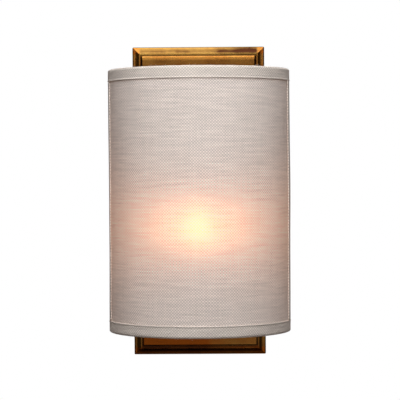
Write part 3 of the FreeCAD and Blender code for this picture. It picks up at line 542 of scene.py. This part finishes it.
def linen_material(name, colour, lit, painted_hem_highlight=1.0):
    """Undyed linen: woven threads with slubs, a soft sheen and a share of the lamp's glow. A
    tape may be painted paler near its hem, a painted highlight where the hem's edge catches the
    light, where the second part of its UV map begins."""
    cloth = settings().cloth
    glow = settings().glow
    made, tree, shader, places = material(name)
    weave = placed(tree, "Woven threads",
                   {"UV": places["UV"], "Pitch": cloth.pitch, "Slub": cloth.slub,
                    "Check": cloth.check})
    clouds = spread(tree, noise(tree, places["Object"], 22.0, 3.0), 0.3, 0.7, 0.985, 1.015)
    shade = product(tree, weave["Tone"], clouds)
    # Painted highlight along the hem of the tape.
    if painted_hem_highlight != 1.0:
        along = split(tree, places["UV"])[1]
        shade = product(tree, shade,
                        spread(tree, along, PAINTED_HEM_W, PAINTED_HEM_W / 2, 1.0, painted_hem_highlight))
    valley = rest(tree, product(tree, weave["Gap"], 0.22))
    feed(tree, shader, {
        "Base Color": scaled(tree, colour, product(tree, shade, valley)),
        "Roughness": 0.92, "Specular IOR Level": 0.25, "Sheen Weight": 0.04,
        "Sheen Roughness": 0.5,
        "Normal": bumped(tree, weave["Height"], THREAD_H, 0.8)})
    light = placed(tree, "Lamp glow", {"Vector": places["Object"]})
    glowing = vector(tree, "ADD", scaled(tree, glow.halo, light["Halo"]),
                     scaled(tree, glow.core, light["Core"]))
    through = total(tree, 0.96, product(tree, weave["Gap"], 0.2))
    feed(tree, shader, {
        "Emission Color": scaled(tree, glowing, product(tree, through, weave["Tone"])),
        "Emission Strength": lit})
    return made


def liner_material():
    """The liner: matt translucent styrene, bright where the lamp lights it."""
    made, tree, shader, places = material("styrene sheet")
    glow = settings().glow
    light = placed(tree, "Lamp glow", {"Vector": places["Object"]})
    specks = noise(tree, places["Object"], 400.0, 3.0)
    feed(tree, shader, {
        "Base Color": blend(tree, specks, (0.82, 0.80, 0.76), (0.87, 0.855, 0.82)),
        "Roughness": spread(tree, specks, 0.3, 0.7, 0.4, 0.55),
        "Emission Color": scaled(tree, glow.halo, product(tree, light["Halo"], 1.2)),
        "Emission Strength": 1.0,
        "Normal": bumped(tree, specks, PEEL_H)})
    return made


def brass_material(name, squeeze, finish):
    """Antique brass under a thin lacquer: brush marks, clouding, fine dust. `finish` gives the
    shares of aged and of dark metal from the places in the part; on the pan and the panel these
    shares also hold painted shade and painted highlights."""
    brass = settings().brass
    made, tree, shader, places = material(name)
    grain = placed(tree, "Brushed grain", {"Vector": places["Object"], "Squeeze": squeeze})
    dust = placed(tree, "Dust and smudges", {"Vector": places["Object"]})
    uneven = total(tree, spread(tree, grain["Cloud"], 0.3, 0.7, -0.1, 0.1),
                   product(tree, calc(tree, "SUBTRACT", grain["Grain"], 0.5), 0.35))
    # On the pan and the panel, the aged and dark shares include painted shade.
    aged, dark = finish(tree, places["Object"])
    tint = blend(tree, clamped(tree, total(tree, aged, uneven)), brass.bright, brass.aged)
    tint = blend(tree, clamped(tree, total(tree, dark, product(tree, dark, uneven))), tint,
                 brass.dark)
    tint = blend(tree, product(tree, dust["Dust"], 0.03), tint, (0.6, 0.56, 0.5))
    feed(tree, shader, {
        "Base Color": tint, "Metallic": 1.0,
        "Roughness": total(tree, spread(tree, grain["Grain"], 0.3, 0.7, 0.2, 0.27),
                           product(tree, dust["Smudge"], 0.05)),
        "Coat Weight": 0.08, "Coat Roughness": 0.12,
        "Normal": bumped(tree, grain["Grain"], BRUSH_H, 0.5)})
    return made


def on_plate(tree, place, corner):
    """A place on a part centred on the plate: x, z, the depths inwards from its side and from
    its head or foot."""
    parts = split(tree, place)
    from_side = calc(tree, "SUBTRACT", corner.x, calc(tree, "ABSOLUTE", parts[0]))
    from_end = calc(tree, "SUBTRACT", corner.z, calc(tree, "ABSOLUTE", parts[2]))
    return parts[0], parts[2], from_side, from_end


def pan_patina_and_painted_shade(tree, place):
    """Rubbed along the outer edge. The rest is mostly painted shade and painted reflection: the
    upper band is lighter, darkening down its curve and towards the right; the side bands are aged
    and darker, and the lower band and the groove are nearly black. Soft lines at 45 degrees part
    the bands, and the squares at their corners are painted less dark."""
    x, z, from_side, from_end = on_plate(tree, place, PLATE_HIGH)
    band = PLATE_HIGH.x - PANEL_HIGH.x
    depth = calc(tree, "MINIMUM", from_side, from_end)
    side = spread(tree, calc(tree, "SUBTRACT", from_end, from_side), -2 * RUB_W, 2 * RUB_W)
    front = spread(tree, depth, band, band + RUB_W, 1.0, 0.0)
    end = product(tree, rest(tree, side), front)
    side = product(tree, side, front)
    low = spread(tree, z, -PANEL_HIGH.z / 2, PANEL_HIGH.z / 2, 1.0, 0.0)
    lower = product(tree, end, low)
    upper = calc(tree, "SUBTRACT", end, lower)
    # Painted shade: the upper band darkens towards the right.
    painted_shade_right = product(tree, end, spread(tree, z, 0.0, PANEL_HIGH.z),
                     spread(tree, x, PANEL_HIGH.x * 0.2, PANEL_HIGH.x * 0.7))
    edge = product(tree, spread(tree, depth, RUB_W, 2 * RUB_W, 1.0, 0.0),
                   rest(tree, calc(tree, "MAXIMUM", lower, painted_shade_right)))
    # Painted shade in the groove, laid along the side bands.
    groove = spread(tree, depth, band - RUB_W, band - RUB_W / 3)
    # Painted light: the squares at the corners are less dark.
    square = spread(tree, calc(tree, "MAXIMUM", from_side, from_end), band, band * 0.7)
    # Painted shade and painted reflection: how dark the head and the foot are from the outer edge,
    # down the cove and up to the groove.
    painted_cove_shade = calc(tree, "SUBTRACT", spread(tree, depth, band * 0.1, band * 0.5, 0.6, 0.86),
                spread(tree, depth, band * 0.6, band * 0.8, 0.0, 0.55))
    foot = calc(tree, "SUBTRACT", spread(tree, depth, band * 0.3, band * 0.6, 0.35, 0.82),
                spread(tree, x, 0.0, PANEL_HIGH.x * 0.8, 0.0, 0.3))
    # The dark share is painted shade over the side bands, the lower band, the groove and the right
    # of the upper band.
    dark = total(tree, product(tree, upper, painted_cove_shade), product(tree, lower, foot),
                 product(tree, side, 0.45), product(tree, painted_shade_right, 0.3),
                 product(tree, groove, side, 0.5), product(tree, rest(tree, front), 0.35))
    paler = product(tree, square, calc(tree, "MULTIPLY_ADD", low, 0.35, 0.35))
    kept = product(tree, rest(tree, product(tree, edge, 0.1)), rest(tree, paler))
    # The side bands, the lower band and the corner squares are also made more aged, as part of the
    # painted shading.
    aged = total(tree, 0.15, product(tree, side, 0.4), product(tree, lower, 0.8),
                 product(tree, square, 0.4))
    return aged, product(tree, dark, kept)


def panel_patina_and_painted_shade(tree, place):
    """Painted highlight and painted shade: a pale strip just inside its head, darker below that
    strip and at its very edges in the upper half, darker along its foot, and redder towards the
    foot's left.
    """
    x, z, from_side, from_end = on_plate(tree, place, PANEL_HIGH)
    depth = calc(tree, "MINIMUM", from_side, from_end)
    low = spread(tree, z, PANEL_HIGH.z * 0.5, -PANEL_HIGH.z * 0.5)
    # Painted shade: redder and darker towards the foot's left.
    left = spread(tree, x, PANEL_HIGH.x * 0.6, -PANEL_HIGH.x * 0.2, 0.05, 0.85)
    # Painted shade along the foot.
    foot = product(tree, low, spread(tree, from_end, 2 * RUB_W, RUB_W, 0.25, 0.85))
    aged = total(tree, 0.5, product(tree, low, left))
    # Painted highlight in a strip inside the head, with painted shade below it and at the edges.
    upper = total(tree, spread(tree, depth, RUB_W, 2 * RUB_W, 0.6, 0.0),
                  spread(tree, from_end, 2 * RUB_W, 5.5 * RUB_W, 0.05, 0.7))
    return aged, total(tree, product(tree, rest(tree, low), upper), foot)


def nut_finish(tree, place):
    """Handled parts are rubbed all over, with darker patches."""
    patches = spread(tree, noise(tree, place, 160.0, 2.0), 0.35, 0.65)
    return product(tree, patches, 0.6), product(tree, patches, 0.25)


def metal_material(name, colour, rough, squeeze):
    """A plated or plain metal with fine tool marks and dust."""
    made, tree, shader, places = material(name)
    grain = placed(tree, "Brushed grain", {"Vector": places["Object"], "Squeeze": squeeze})
    dust = placed(tree, "Dust and smudges", {"Vector": places["Object"]})
    dark = tuple(0.72 * part for part in colour)
    tint = blend(tree, spread(tree, grain["Cloud"], 0.3, 0.75), colour, dark)
    feed(tree, shader, {
        "Base Color": blend(tree, product(tree, dust["Dust"], 0.25), tint, (0.55, 0.53, 0.5)),
        "Metallic": 1.0,
        "Roughness": spread(tree, grain["Grain"], 0.25, 0.75, rough - 0.07, rough + 0.08),
        "Normal": bumped(tree, grain["Grain"], TOOL_H, 0.5)})
    return made


def moulded_material(name, colour, rough):
    """A moulded or enamelled surface: a faint orange peel and dust."""
    made, tree, shader, places = material(name)
    dust = placed(tree, "Dust and smudges", {"Vector": places["Object"]})
    peel = noise(tree, places["Object"], 1400.0, 2.0)
    tint = blend(tree, spread(tree, noise(tree, places["Object"], 60.0, 3.0), 0.3, 0.7),
                 colour, tuple(0.85 * part for part in colour))
    feed(tree, shader, {
        "Base Color": blend(tree, product(tree, dust["Dust"], 0.2), tint, (0.5, 0.48, 0.45)),
        "Roughness": spread(tree, dust["Smudge"], 0.0, 1.0, rough, rough + 0.1),
        "Normal": bumped(tree, peel, PEEL_H, 0.5)})
    return made


def glass_material():
    """Clear lamp glass with a faint haze."""
    made, tree, shader, places = material("lamp glass")
    haze = noise(tree, places["Object"], 90.0, 3.0)
    feed(tree, shader, {
        "Base Color": blend(tree, haze, (1.0, 0.99, 0.97), (0.97, 0.96, 0.94)),
        "Roughness": spread(tree, haze, 0.4, 0.8, 0.02, 0.08),
        "IOR": 1.45, "Transmission Weight": 1.0})
    return made


def filament_material():
    """The glowing filament, hottest in the middle of its arch."""
    made, tree, shader, places = material("glowing filament")
    heat = spread(tree, split(tree, places["Object"])[2], LAMP.z - 0.006, LAMP.z + 0.001)
    feed(tree, shader, {
        "Base Color": blend(tree, heat, (0.25, 0.22, 0.2), (1.0, 0.85, 0.6)),
        "Metallic": 1.0, "Roughness": 0.4,
        "Emission Color": blend(tree, heat, (0.1, 0.02, 0.0), (1.0, 0.72, 0.36)),
        "Emission Strength": 6.0})
    return made


# --- operators: one for each group of pieces ---

def dress(finish, *nodes):
    """Gives frame parts their finish."""
    for node in nodes:
        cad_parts[node].data.materials[0] = finish


def hang(made, finish, node):
    """Puts a new piece on the shade in place of a frame part, with its finish."""
    made.data.materials.append(finish)
    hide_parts(node)
    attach(made, "shade")


class WALLLIGHT_OT_effects(bpy.types.Operator):
    """Build the shared effects: weave, brush marks, dust and the lamp's glow"""
    bl_idname = "walllight.effects"
    bl_label = "Shared effects"

    def execute(self, context):
        build_weave()
        build_brush()
        build_dust()
        build_glow()
        return {"FINISHED"}


class WALLLIGHT_OT_plate(bpy.types.Operator):
    """Finish the brass plate, its panel and the nuts that show"""
    bl_idname = "walllight.plate"
    bl_label = "Brass plate"

    def execute(self, context):
        mark = 1 / settings().brass.grain
        along_x = (mark * 0.03, mark * 0.5, mark)
        turned = (mark * 0.4, mark * 0.4, mark * 0.4)
        # The pan and the panel get painted shade and painted highlights in their finish.
        dress(brass_material("brass pan", along_x, pan_patina_and_painted_shade), "backplate_pan")
        dress(brass_material("brass panel", along_x, panel_patina_and_painted_shade), "face_panel")
        dress(brass_material("turned brass", turned, nut_finish),
              "cap_nuts", "top_thumb_nut", "bottom_thumb_nut")
        return {"FINISHED"}


class WALLLIGHT_OT_fixings(bpy.types.Operator):
    """Finish the steel strap, bracket, screws, nuts and washers"""
    bl_idname = "walllight.fixings"
    bl_label = "Fixings"

    def execute(self, context):
        dress(metal_material("zinc plate", (0.58, 0.6, 0.6), 0.34, (900, 900, 260)),
              "mounting_strap", "plate_studs", "strap_nuts", "shade_posts", "back_nuts",
              "lamp_bracket", "bracket_screws", "holder_nipple", "holder_locknuts",
              "top_thumb_washer", "bottom_thumb_washer")
        dress(metal_material("green earth screw", (0.04, 0.3, 0.11), 0.4, (700, 700, 700)),
              "ground_screw")
        dress(moulded_material("nylon bushing", (0.035, 0.035, 0.035), 0.45), "lead_bushing")
        return {"FINISHED"}


class WALLLIGHT_OT_lampholder(bpy.types.Operator):
    """Finish the moulded lampholder and its brass"""
    bl_idname = "walllight.lampholder"
    bl_label = "Lampholder"

    def execute(self, context):
        dress(moulded_material("phenolic", (0.03, 0.024, 0.02), 0.38), "holder_body")
        dress(metal_material("contact brass", (0.75, 0.52, 0.2), 0.25, (500, 500, 900)),
              "terminal_screws", "holder_shell", "holder_contact")
        return {"FINISHED"}


class WALLLIGHT_OT_lamp(bpy.types.Operator):
    """Finish the lamp: glass, cap, stem and glowing filament"""
    bl_idname = "walllight.lamp"
    bl_label = "Lamp"

    def execute(self, context):
        dress(glass_material(), "bulb_glass", "bulb_stem")
        dress(metal_material("nickelled cap", (0.7, 0.64, 0.5), 0.28, (300, 300, 1500)),
              "bulb_cap")
        dress(moulded_material("black glass", (0.02, 0.02, 0.025), 0.12), "bulb_insulator")
        dress(metal_material("solder", (0.62, 0.62, 0.6), 0.42, (600, 600, 600)), "bulb_tip")
        dress(filament_material(), "bulb_filament")
        return {"FINISHED"}


class WALLLIGHT_OT_shade_frame(bpy.types.Operator):
    """Finish the hoops and straps in white enamel, and make the bowed side wires"""
    bl_idname = "walllight.shade_frame"
    bl_label = "Shade frame"

    def execute(self, context):
        enamel = moulded_material("white enamel", (0.8, 0.79, 0.76), 0.35)
        dress(enamel, "top_hoop", "bottom_hoop", "top_strap", "bottom_strap")
        for name, side in (("right_side_wire", 1), ("left_side_wire", -1)):
            hang(side_wire(name.replace("_wire", "_rod"), side), enamel, name)
        return {"FINISHED"}


def side_wire(name, side):
    """An upright round wire whose axis follows the bow of the cloth beside it."""
    height = np.linspace(-1, 1, 41) * (FOLD_Z - WIRE_R)
    turn = (np.arange(16) + 0.5) * math.tau / 16
    radius = LINER_R - LINER_T - GLUE_GAP - WIRE_R
    axis = on_arc(side * HALF_ANGLE, radius, height)
    ring = WIRE_R * np.stack([np.cos(turn), np.sin(turn), 0 * turn], axis=-1)
    rings = axis[:, None] + ring[None]
    uv = np.stack(np.broadcast_arrays(turn * WIRE_R, height[:, None]), axis=-1)
    return mesh_object(name, shell(rings, uv))


def bent_sheet(name, radius, thickness):
    """A sheet bent about the shade's axis: an upright strip with round ends, carried round the
    arc from edge to edge. Its outer face lies at the radius."""
    angle = np.linspace(-HALF_ANGLE, HALF_ANGLE, 241)
    height = np.linspace(-1, 1, 121) * (FOLD_Z - thickness / 2)
    loop, _ = ribbon(np.stack([0 * height, height], axis=1), np.full(len(height), thickness))
    rings = on_arc(angle[:, None], radius + loop[None, :, 0], loop[None, :, 1])
    uv = np.stack(np.broadcast_arrays(angle[:, None] * radius, loop[None, :, 1]), axis=-1)
    return mesh_object(name, shell(rings, uv))


class WALLLIGHT_OT_linen(bpy.types.Operator):
    """Make the linen face and the styrene liner behind it"""
    bl_idname = "walllight.linen"
    bl_label = "Linen and liner"

    def execute(self, context):
        face = bent_sheet("linen_face", LINEN_R, LINEN_T)
        linen = linen_material("lit linen", settings().cloth.linen, lit=1.0)
        hang(face, linen, "shade_fabric")
        liner = bent_sheet("liner_sheet", LINER_R, LINER_T)
        hang(liner, liner_material(), "shade_liner")
        return {"FINISHED"}


def folded_tape():
    """A tape folded over an edge, as (outwards, up) from the fold's axis: up the outer leg,
    half a turn over the top and down the inner leg. The outer leg's raw edge is turned under,
    which thickens it outwards along its hem. Gives the closed strip and the distance along it."""
    turn = np.linspace(0, math.pi, 17)[1:-1]
    up = np.linspace(FOLD_R - TAPE_LEG + TAPE_T / 2, 0, 25)
    down = np.linspace(0, FOLD_R - TURN_IN, 9)
    hem = HEM_T * np.clip((FOLD_R - TAPE_LEG + HEM_W - up) / HEM_FADE, 0, 1)
    outer = np.stack([FOLD_R + hem, up], axis=1)
    over = FOLD_R * np.stack([np.cos(turn), np.sin(turn)], axis=1)
    inner = np.stack([np.full_like(down, -FOLD_R), down], axis=1)
    face = np.concatenate([outer, over, inner])
    thickness = np.full(len(face), TAPE_T)
    thickness[:len(hem)] += hem
    return ribbon(face, thickness)


def rim_tape(side):
    """The tape along a rim: the fold carried round the arc. Its inner leg is shortened where
    the strap passes under it."""
    angle = np.linspace(-HALF_ANGLE, HALF_ANGLE, 641)[:, None]
    loop, run = folded_tape()
    depth = AXIS_Y - (FOLD_AXIS_R - FOLD_R) * np.cos(angle)
    gap = np.maximum(STRAP_LOW.y - depth, depth - STRAP_HIGH.y) - NOTCH_CLEAR
    leg_end = np.where(gap < 0, STRAP_HIGH.z + NOTCH_CLEAR - FOLD_Z, FOLD_R - TURN_IN)
    up = np.where(loop[:, 0] < 0, np.maximum(loop[:, 1], leg_end), loop[:, 1])
    rings = on_arc(angle, FOLD_AXIS_R + loop[:, 0], side * (FOLD_Z + up))
    uv = np.stack(np.broadcast_arrays(angle * SHADE_R, run), axis=-1)
    return shell(rings, uv)


def rim_end(side, hand):
    """The end of a rim tape: its outer leg and the outer half of its fold, turned half round
    the back edge about the fold's upright axis."""
    loop, run = folded_tape()
    half = len(loop) // 2
    crown = np.argmax(loop[:half, 1])
    kept = np.r_[0:crown + 1, len(loop) - 1 - crown:len(loop)]
    outward, up, run = np.maximum(loop[kept, 0], 0), loop[kept, 1], run[kept]
    turn = np.linspace(0, math.pi, 25)[:, None]
    centre = on_arc(hand * HALF_ANGLE, FOLD_AXIS_R, side * FOLD_Z)
    heading = hand * (HALF_ANGLE + turn)
    rings = np.stack(np.broadcast_arrays(
        centre[0] + outward * np.sin(heading), centre[1] - outward * np.cos(heading),
        side * (FOLD_Z + up)), axis=-1)
    across = hand * (HALF_ANGLE * SHADE_R + turn * FOLD_R)
    return shell(rings, np.stack(np.broadcast_arrays(across, run), axis=-1))


def side_tape(hand):
    """The tape round a back edge, upright: its outer leg and inner leg follow the arc, with
    half a turn round the side wire between them."""
    loop, run = folded_tape()
    height = np.linspace(-SIDE_Z, SIDE_Z, 121)[:, None]
    radius = FOLD_AXIS_R + loop[:, 0]
    angle = hand * (HALF_ANGLE + np.minimum(loop[:, 1], 0) / radius)
    back = np.array([math.cos(HALF_ANGLE) * hand, math.sin(HALF_ANGLE), 0])
    rings = on_arc(angle, radius, height) + np.maximum(loop[:, 1:], 0) * back
    uv = np.stack(np.broadcast_arrays(height, run), axis=-1)
    return shell(rings, uv)


class WALLLIGHT_OT_tapes(bpy.types.Operator):
    """Make the folded linen tapes on the rims and the back edges"""
    bl_idname = "walllight.tapes"
    bl_label = "Edge tapes"

    def execute(self, context):
        tape = settings().cloth.tape
        cloth = linen_material("linen tape", tape, lit=0.4)
        # The side tape gets a painted highlight along its hem.
        upright = linen_material("linen side tape", tape, lit=0.3, painted_hem_highlight=1.2)
        width = TAPE_LEG - FOLD_R + math.pi * (FOLD_R - TAPE_T / 2) + TURN_IN - FOLD_R
        ends = 2 * math.pi * (FOLD_R - TAPE_T / 2)
        for label, side in (("top", 1), ("bottom", -1)):
            made = mesh_object(label + "_tape", rim_tape(side), rim_end(side, -1),
                               rim_end(side, 1))
            self.settle(made, cloth, label + "_rim_tape",
                        (2 * HALF_ANGLE * FOLD_AXIS_R + ends, width), label + "_hoop")
        for label, hand in (("right", 1), ("left", -1)):
            made = mesh_object(label + "_tape", side_tape(hand))
            self.settle(made, upright, label + "_side_tape", (2 * SIDE_Z, width),
                        label + "_side_rod")
        return {"FINISHED"}

    def settle(self, made, cloth, node, flat, carrier):
        """Hangs a tape on the shade."""
        hang(made, cloth, node)


class WALLLIGHT_OT_fibres(bpy.types.Operator):
    """Make the loose fibres that stand out along the edges of the cloth"""
    bl_idname = "walllight.fibres"
    bl_label = "Loose fibres"

    def execute(self, context):
        made = loose_fibres("loose_fibres")
        made.data.materials.append(bpy.data.materials["linen tape"])
        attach(made, "shade")
        return {"FINISHED"}


def loose_fibres(name):
    """Short four-sided fibres. Each starts on the shade's outside, near a rim or a back edge,
    and follows root + t length heading + t^2 curl, thinning to its tip."""
    chance = np.random.default_rng(7)
    count = settings().cloth.fibres
    where = chance.random(count)
    at_rim = where < 0.6
    angle = np.where(at_rim, chance.uniform(-1, 1, count), np.sign(chance.random(count) - 0.5)
                     * chance.uniform(0.93, 1.0, count)) * HALF_ANGLE
    rim = np.sign(chance.random(count) - 0.5) * chance.choice([RIM_Z, RIM_Z - TAPE_LEG], count)
    height = np.where(at_rim, rim, chance.uniform(-RIM_Z, RIM_Z, count))
    root = on_arc(angle, np.where(at_rim & (np.abs(rim) > FOLD_Z), FOLD_AXIS_R, SHADE_R - 0.0002),
                  height)
    out = np.stack([np.sin(angle), -np.cos(angle), 0 * angle], axis=-1)
    out[:, 2] = np.where(at_rim, np.sign(rim) * (np.abs(rim) > FOLD_Z) * 1.4, 0)
    heading = out + chance.normal(0, 0.55, (count, 3))
    heading /= np.linalg.norm(heading, axis=1, keepdims=True)
    length = chance.gamma(3.0, 0.0003, count)[:, None]
    curl = chance.normal(0, 0.4, (count, 3)) * length
    share = np.linspace(0, 1, 4)[None, :, None]
    axis = root[:, None] + share * (length * heading)[:, None] + share ** 2 * curl[:, None]
    side = np.cross(heading, [0.3, 0.5, 0.8])
    side /= np.linalg.norm(side, axis=1, keepdims=True)
    other = np.cross(heading, side)
    ring = np.stack([side, other, -side, -other], axis=1)
    thick = FIBRE_R * (1 - 0.7 * share)
    points = axis[:, :, None] + thick[:, :, None] * ring[:, None]
    # One fibre has four rings of four points: twelve faces round it and one at each end.
    ring_start = np.arange(0, 12, 4)[:, None, None]
    corner = np.arange(4)[None, :, None]
    after = (corner + 1) % 4
    around = np.concatenate([ring_start + corner, ring_start + after, ring_start + 4 + after,
                             ring_start + 4 + corner], axis=-1).reshape(-1, 4)
    one = np.concatenate([around, [[3, 2, 1, 0], [12, 13, 14, 15]]])
    faces = (np.arange(count)[:, None, None] * 16 + one).reshape(-1, 4)
    uv = np.stack([np.zeros(count * 16), np.tile(np.repeat(np.arange(4), 4), count) * 0.001], 1)
    return mesh_object(name, (points.reshape(-1, 3), faces, uv))


# --- studio ---

def panel_object(name, corners, finish):
    """A flat four-cornered sheet of the studio."""
    mesh = bpy.data.meshes.new(name)
    mesh.from_pydata(corners, [], [(0, 1, 2, 3)])
    mesh.materials.append(finish)
    made = linked(name, mesh)


def backdrop_material():
    """White to the camera and in gloss and glass, plain pale paper to all other light."""
    made = bpy.data.materials.new("white backdrop")
    tree = emptied(made)
    paper = add(tree, "ShaderNodeBsdfDiffuse", {"Color": (0.8, 0.8, 0.8)})
    white = add(tree, "ShaderNodeEmission", {"Color": (1.0, 1.0, 1.0), "Strength": 1.0})
    path = add(tree, "ShaderNodeLightPath").outputs
    seen = calc(tree, "MAXIMUM", path["Is Camera Ray"],
                calc(tree, "MAXIMUM", path["Is Glossy Ray"], path["Is Transmission Ray"]))
    mixed = add(tree, "ShaderNodeMixShader", {0: seen, 1: paper.outputs[0], 2: white.outputs[0]})
    add(tree, "ShaderNodeOutputMaterial", {"Surface": mixed.outputs[0]})
    return made


def floor_material():
    """A plain pale floor."""
    made, tree, shader, _ = material("pale floor")
    feed(tree, shader, {"Base Color": (0.8, 0.8, 0.79), "Roughness": 0.9})
    return made


def aimed(place, aim):
    """The placement of a lamp or camera that faces a point."""
    turn = (Vector(aim) - Vector(place)).to_track_quat("-Z", "Y").to_matrix().to_4x4()
    return Matrix.Translation(place) @ turn


def softbox(name, place, size, power):
    """A rectangular lamp that faces the part's middle."""
    lamp = bpy.data.lights.new(name, "AREA")
    lamp.shape = "RECTANGLE"
    lamp.size, lamp.size_y = size
    lamp.energy = power
    linked(name, lamp).matrix_world = aimed(place, (0, 0, 0))


def surround():
    """The room's soft light: dim below, plain at eye level and bright overhead."""
    world = bpy.data.worlds.new("soft room")
    bpy.context.scene.world = world
    tree = emptied(world)
    up = split(tree, add(tree, "ShaderNodeTexCoord").outputs["Generated"])[2]
    ramp = add(tree, "ShaderNodeValToRGB", {0: calc(tree, "MULTIPLY_ADD", up, 0.5, 0.5)})
    stops = ramp.color_ramp.elements
    stops.new(0.5)
    for stop, grey in zip(stops, (0.01, 0.045, 0.15)):
        stop.color = (grey, grey, grey, 1.0)
    light = add(tree, "ShaderNodeBackground", {"Color": ramp.outputs[0], "Strength": 1.0})
    add(tree, "ShaderNodeOutputWorld", {"Surface": light.outputs[0]})


class WALLLIGHT_OT_studio(bpy.types.Operator):
    """Build the studio: floor, white backdrop, soft lamps and camera"""
    bl_idname = "walllight.studio"
    bl_label = "Studio"

    def execute(self, context):
        studio = settings().studio
        low = -studio.floor_drop
        panel_object("floor", [(-2, -0.3, low), (2, -0.3, low), (2, 3, low), (-2, 3, low)],
                     floor_material())
        panel_object("backdrop", [(-2.5, 2.6, low - 0.5), (2.5, 2.6, low - 0.5),
                                  (2.5, 2.6, 2.5), (-2.5, 2.6, 2.5)], backdrop_material())
        surround()
        for lamp in SOFTBOXES:
            softbox(*lamp)
        self.camera(context, studio)
        return {"FINISHED"}

    def camera(self, context, studio):
        """The photograph's camera: its place, its aim and then a small roll."""
        lens = bpy.data.cameras.new("camera")
        lens.sensor_width = 36
        lens.lens = studio.lens
        lens.clip_end = 20
        made = linked("camera", lens)
        made.matrix_world = aimed(
            (studio.camera_x, -studio.camera_distance, studio.camera_z),
            (studio.aim_x, 0, studio.aim_z)) @ Matrix.Rotation(studio.roll, 4, "Z")
        context.scene.camera = made
        context.scene.view_settings.view_transform = "Standard"


class WALLLIGHT_PT_sidebar(bpy.types.Panel):
    """Lists the pieces and their settings"""
    bl_label = "Wall light"
    bl_space_type = "VIEW_3D"
    bl_region_type = "UI"
    bl_category = "Wall light"

    def draw(self, context):
        layout = self.layout
        for operator in OPERATORS:
            layout.operator(operator.bl_idname)
        values = context.scene.wall_light
        for part in (values.cloth, values.brass, values.glow, values.studio):
            box = layout.box()
            for name in part.bl_rna.properties.keys():
                if name not in ("rna_type", "name"):
                    box.prop(part, name)


OPERATORS = (WALLLIGHT_OT_studio, WALLLIGHT_OT_effects, WALLLIGHT_OT_plate, WALLLIGHT_OT_fixings,
             WALLLIGHT_OT_lampholder, WALLLIGHT_OT_lamp, WALLLIGHT_OT_shade_frame,
             WALLLIGHT_OT_linen, WALLLIGHT_OT_tapes, WALLLIGHT_OT_fibres)
CLASSES = (ClothSettings, BrassSettings, GlowSettings, StudioSettings,
           WallLightSettings) + OPERATORS + (WALLLIGHT_PT_sidebar,)


def register():
    for part in CLASSES:
        bpy.utils.register_class(part)
    bpy.types.Scene.wall_light = PointerProperty(type=WallLightSettings)


def unregister():
    del bpy.types.Scene.wall_light
    for part in reversed(CLASSES):
        bpy.utils.unregister_class(part)


def main():
    """Registers the parts and builds everything in order."""
    register()
    for operator in OPERATORS:
        getattr(bpy.ops.walllight, operator.bl_idname.partition(".")[2])()


if __name__ == "__main__":
    main()
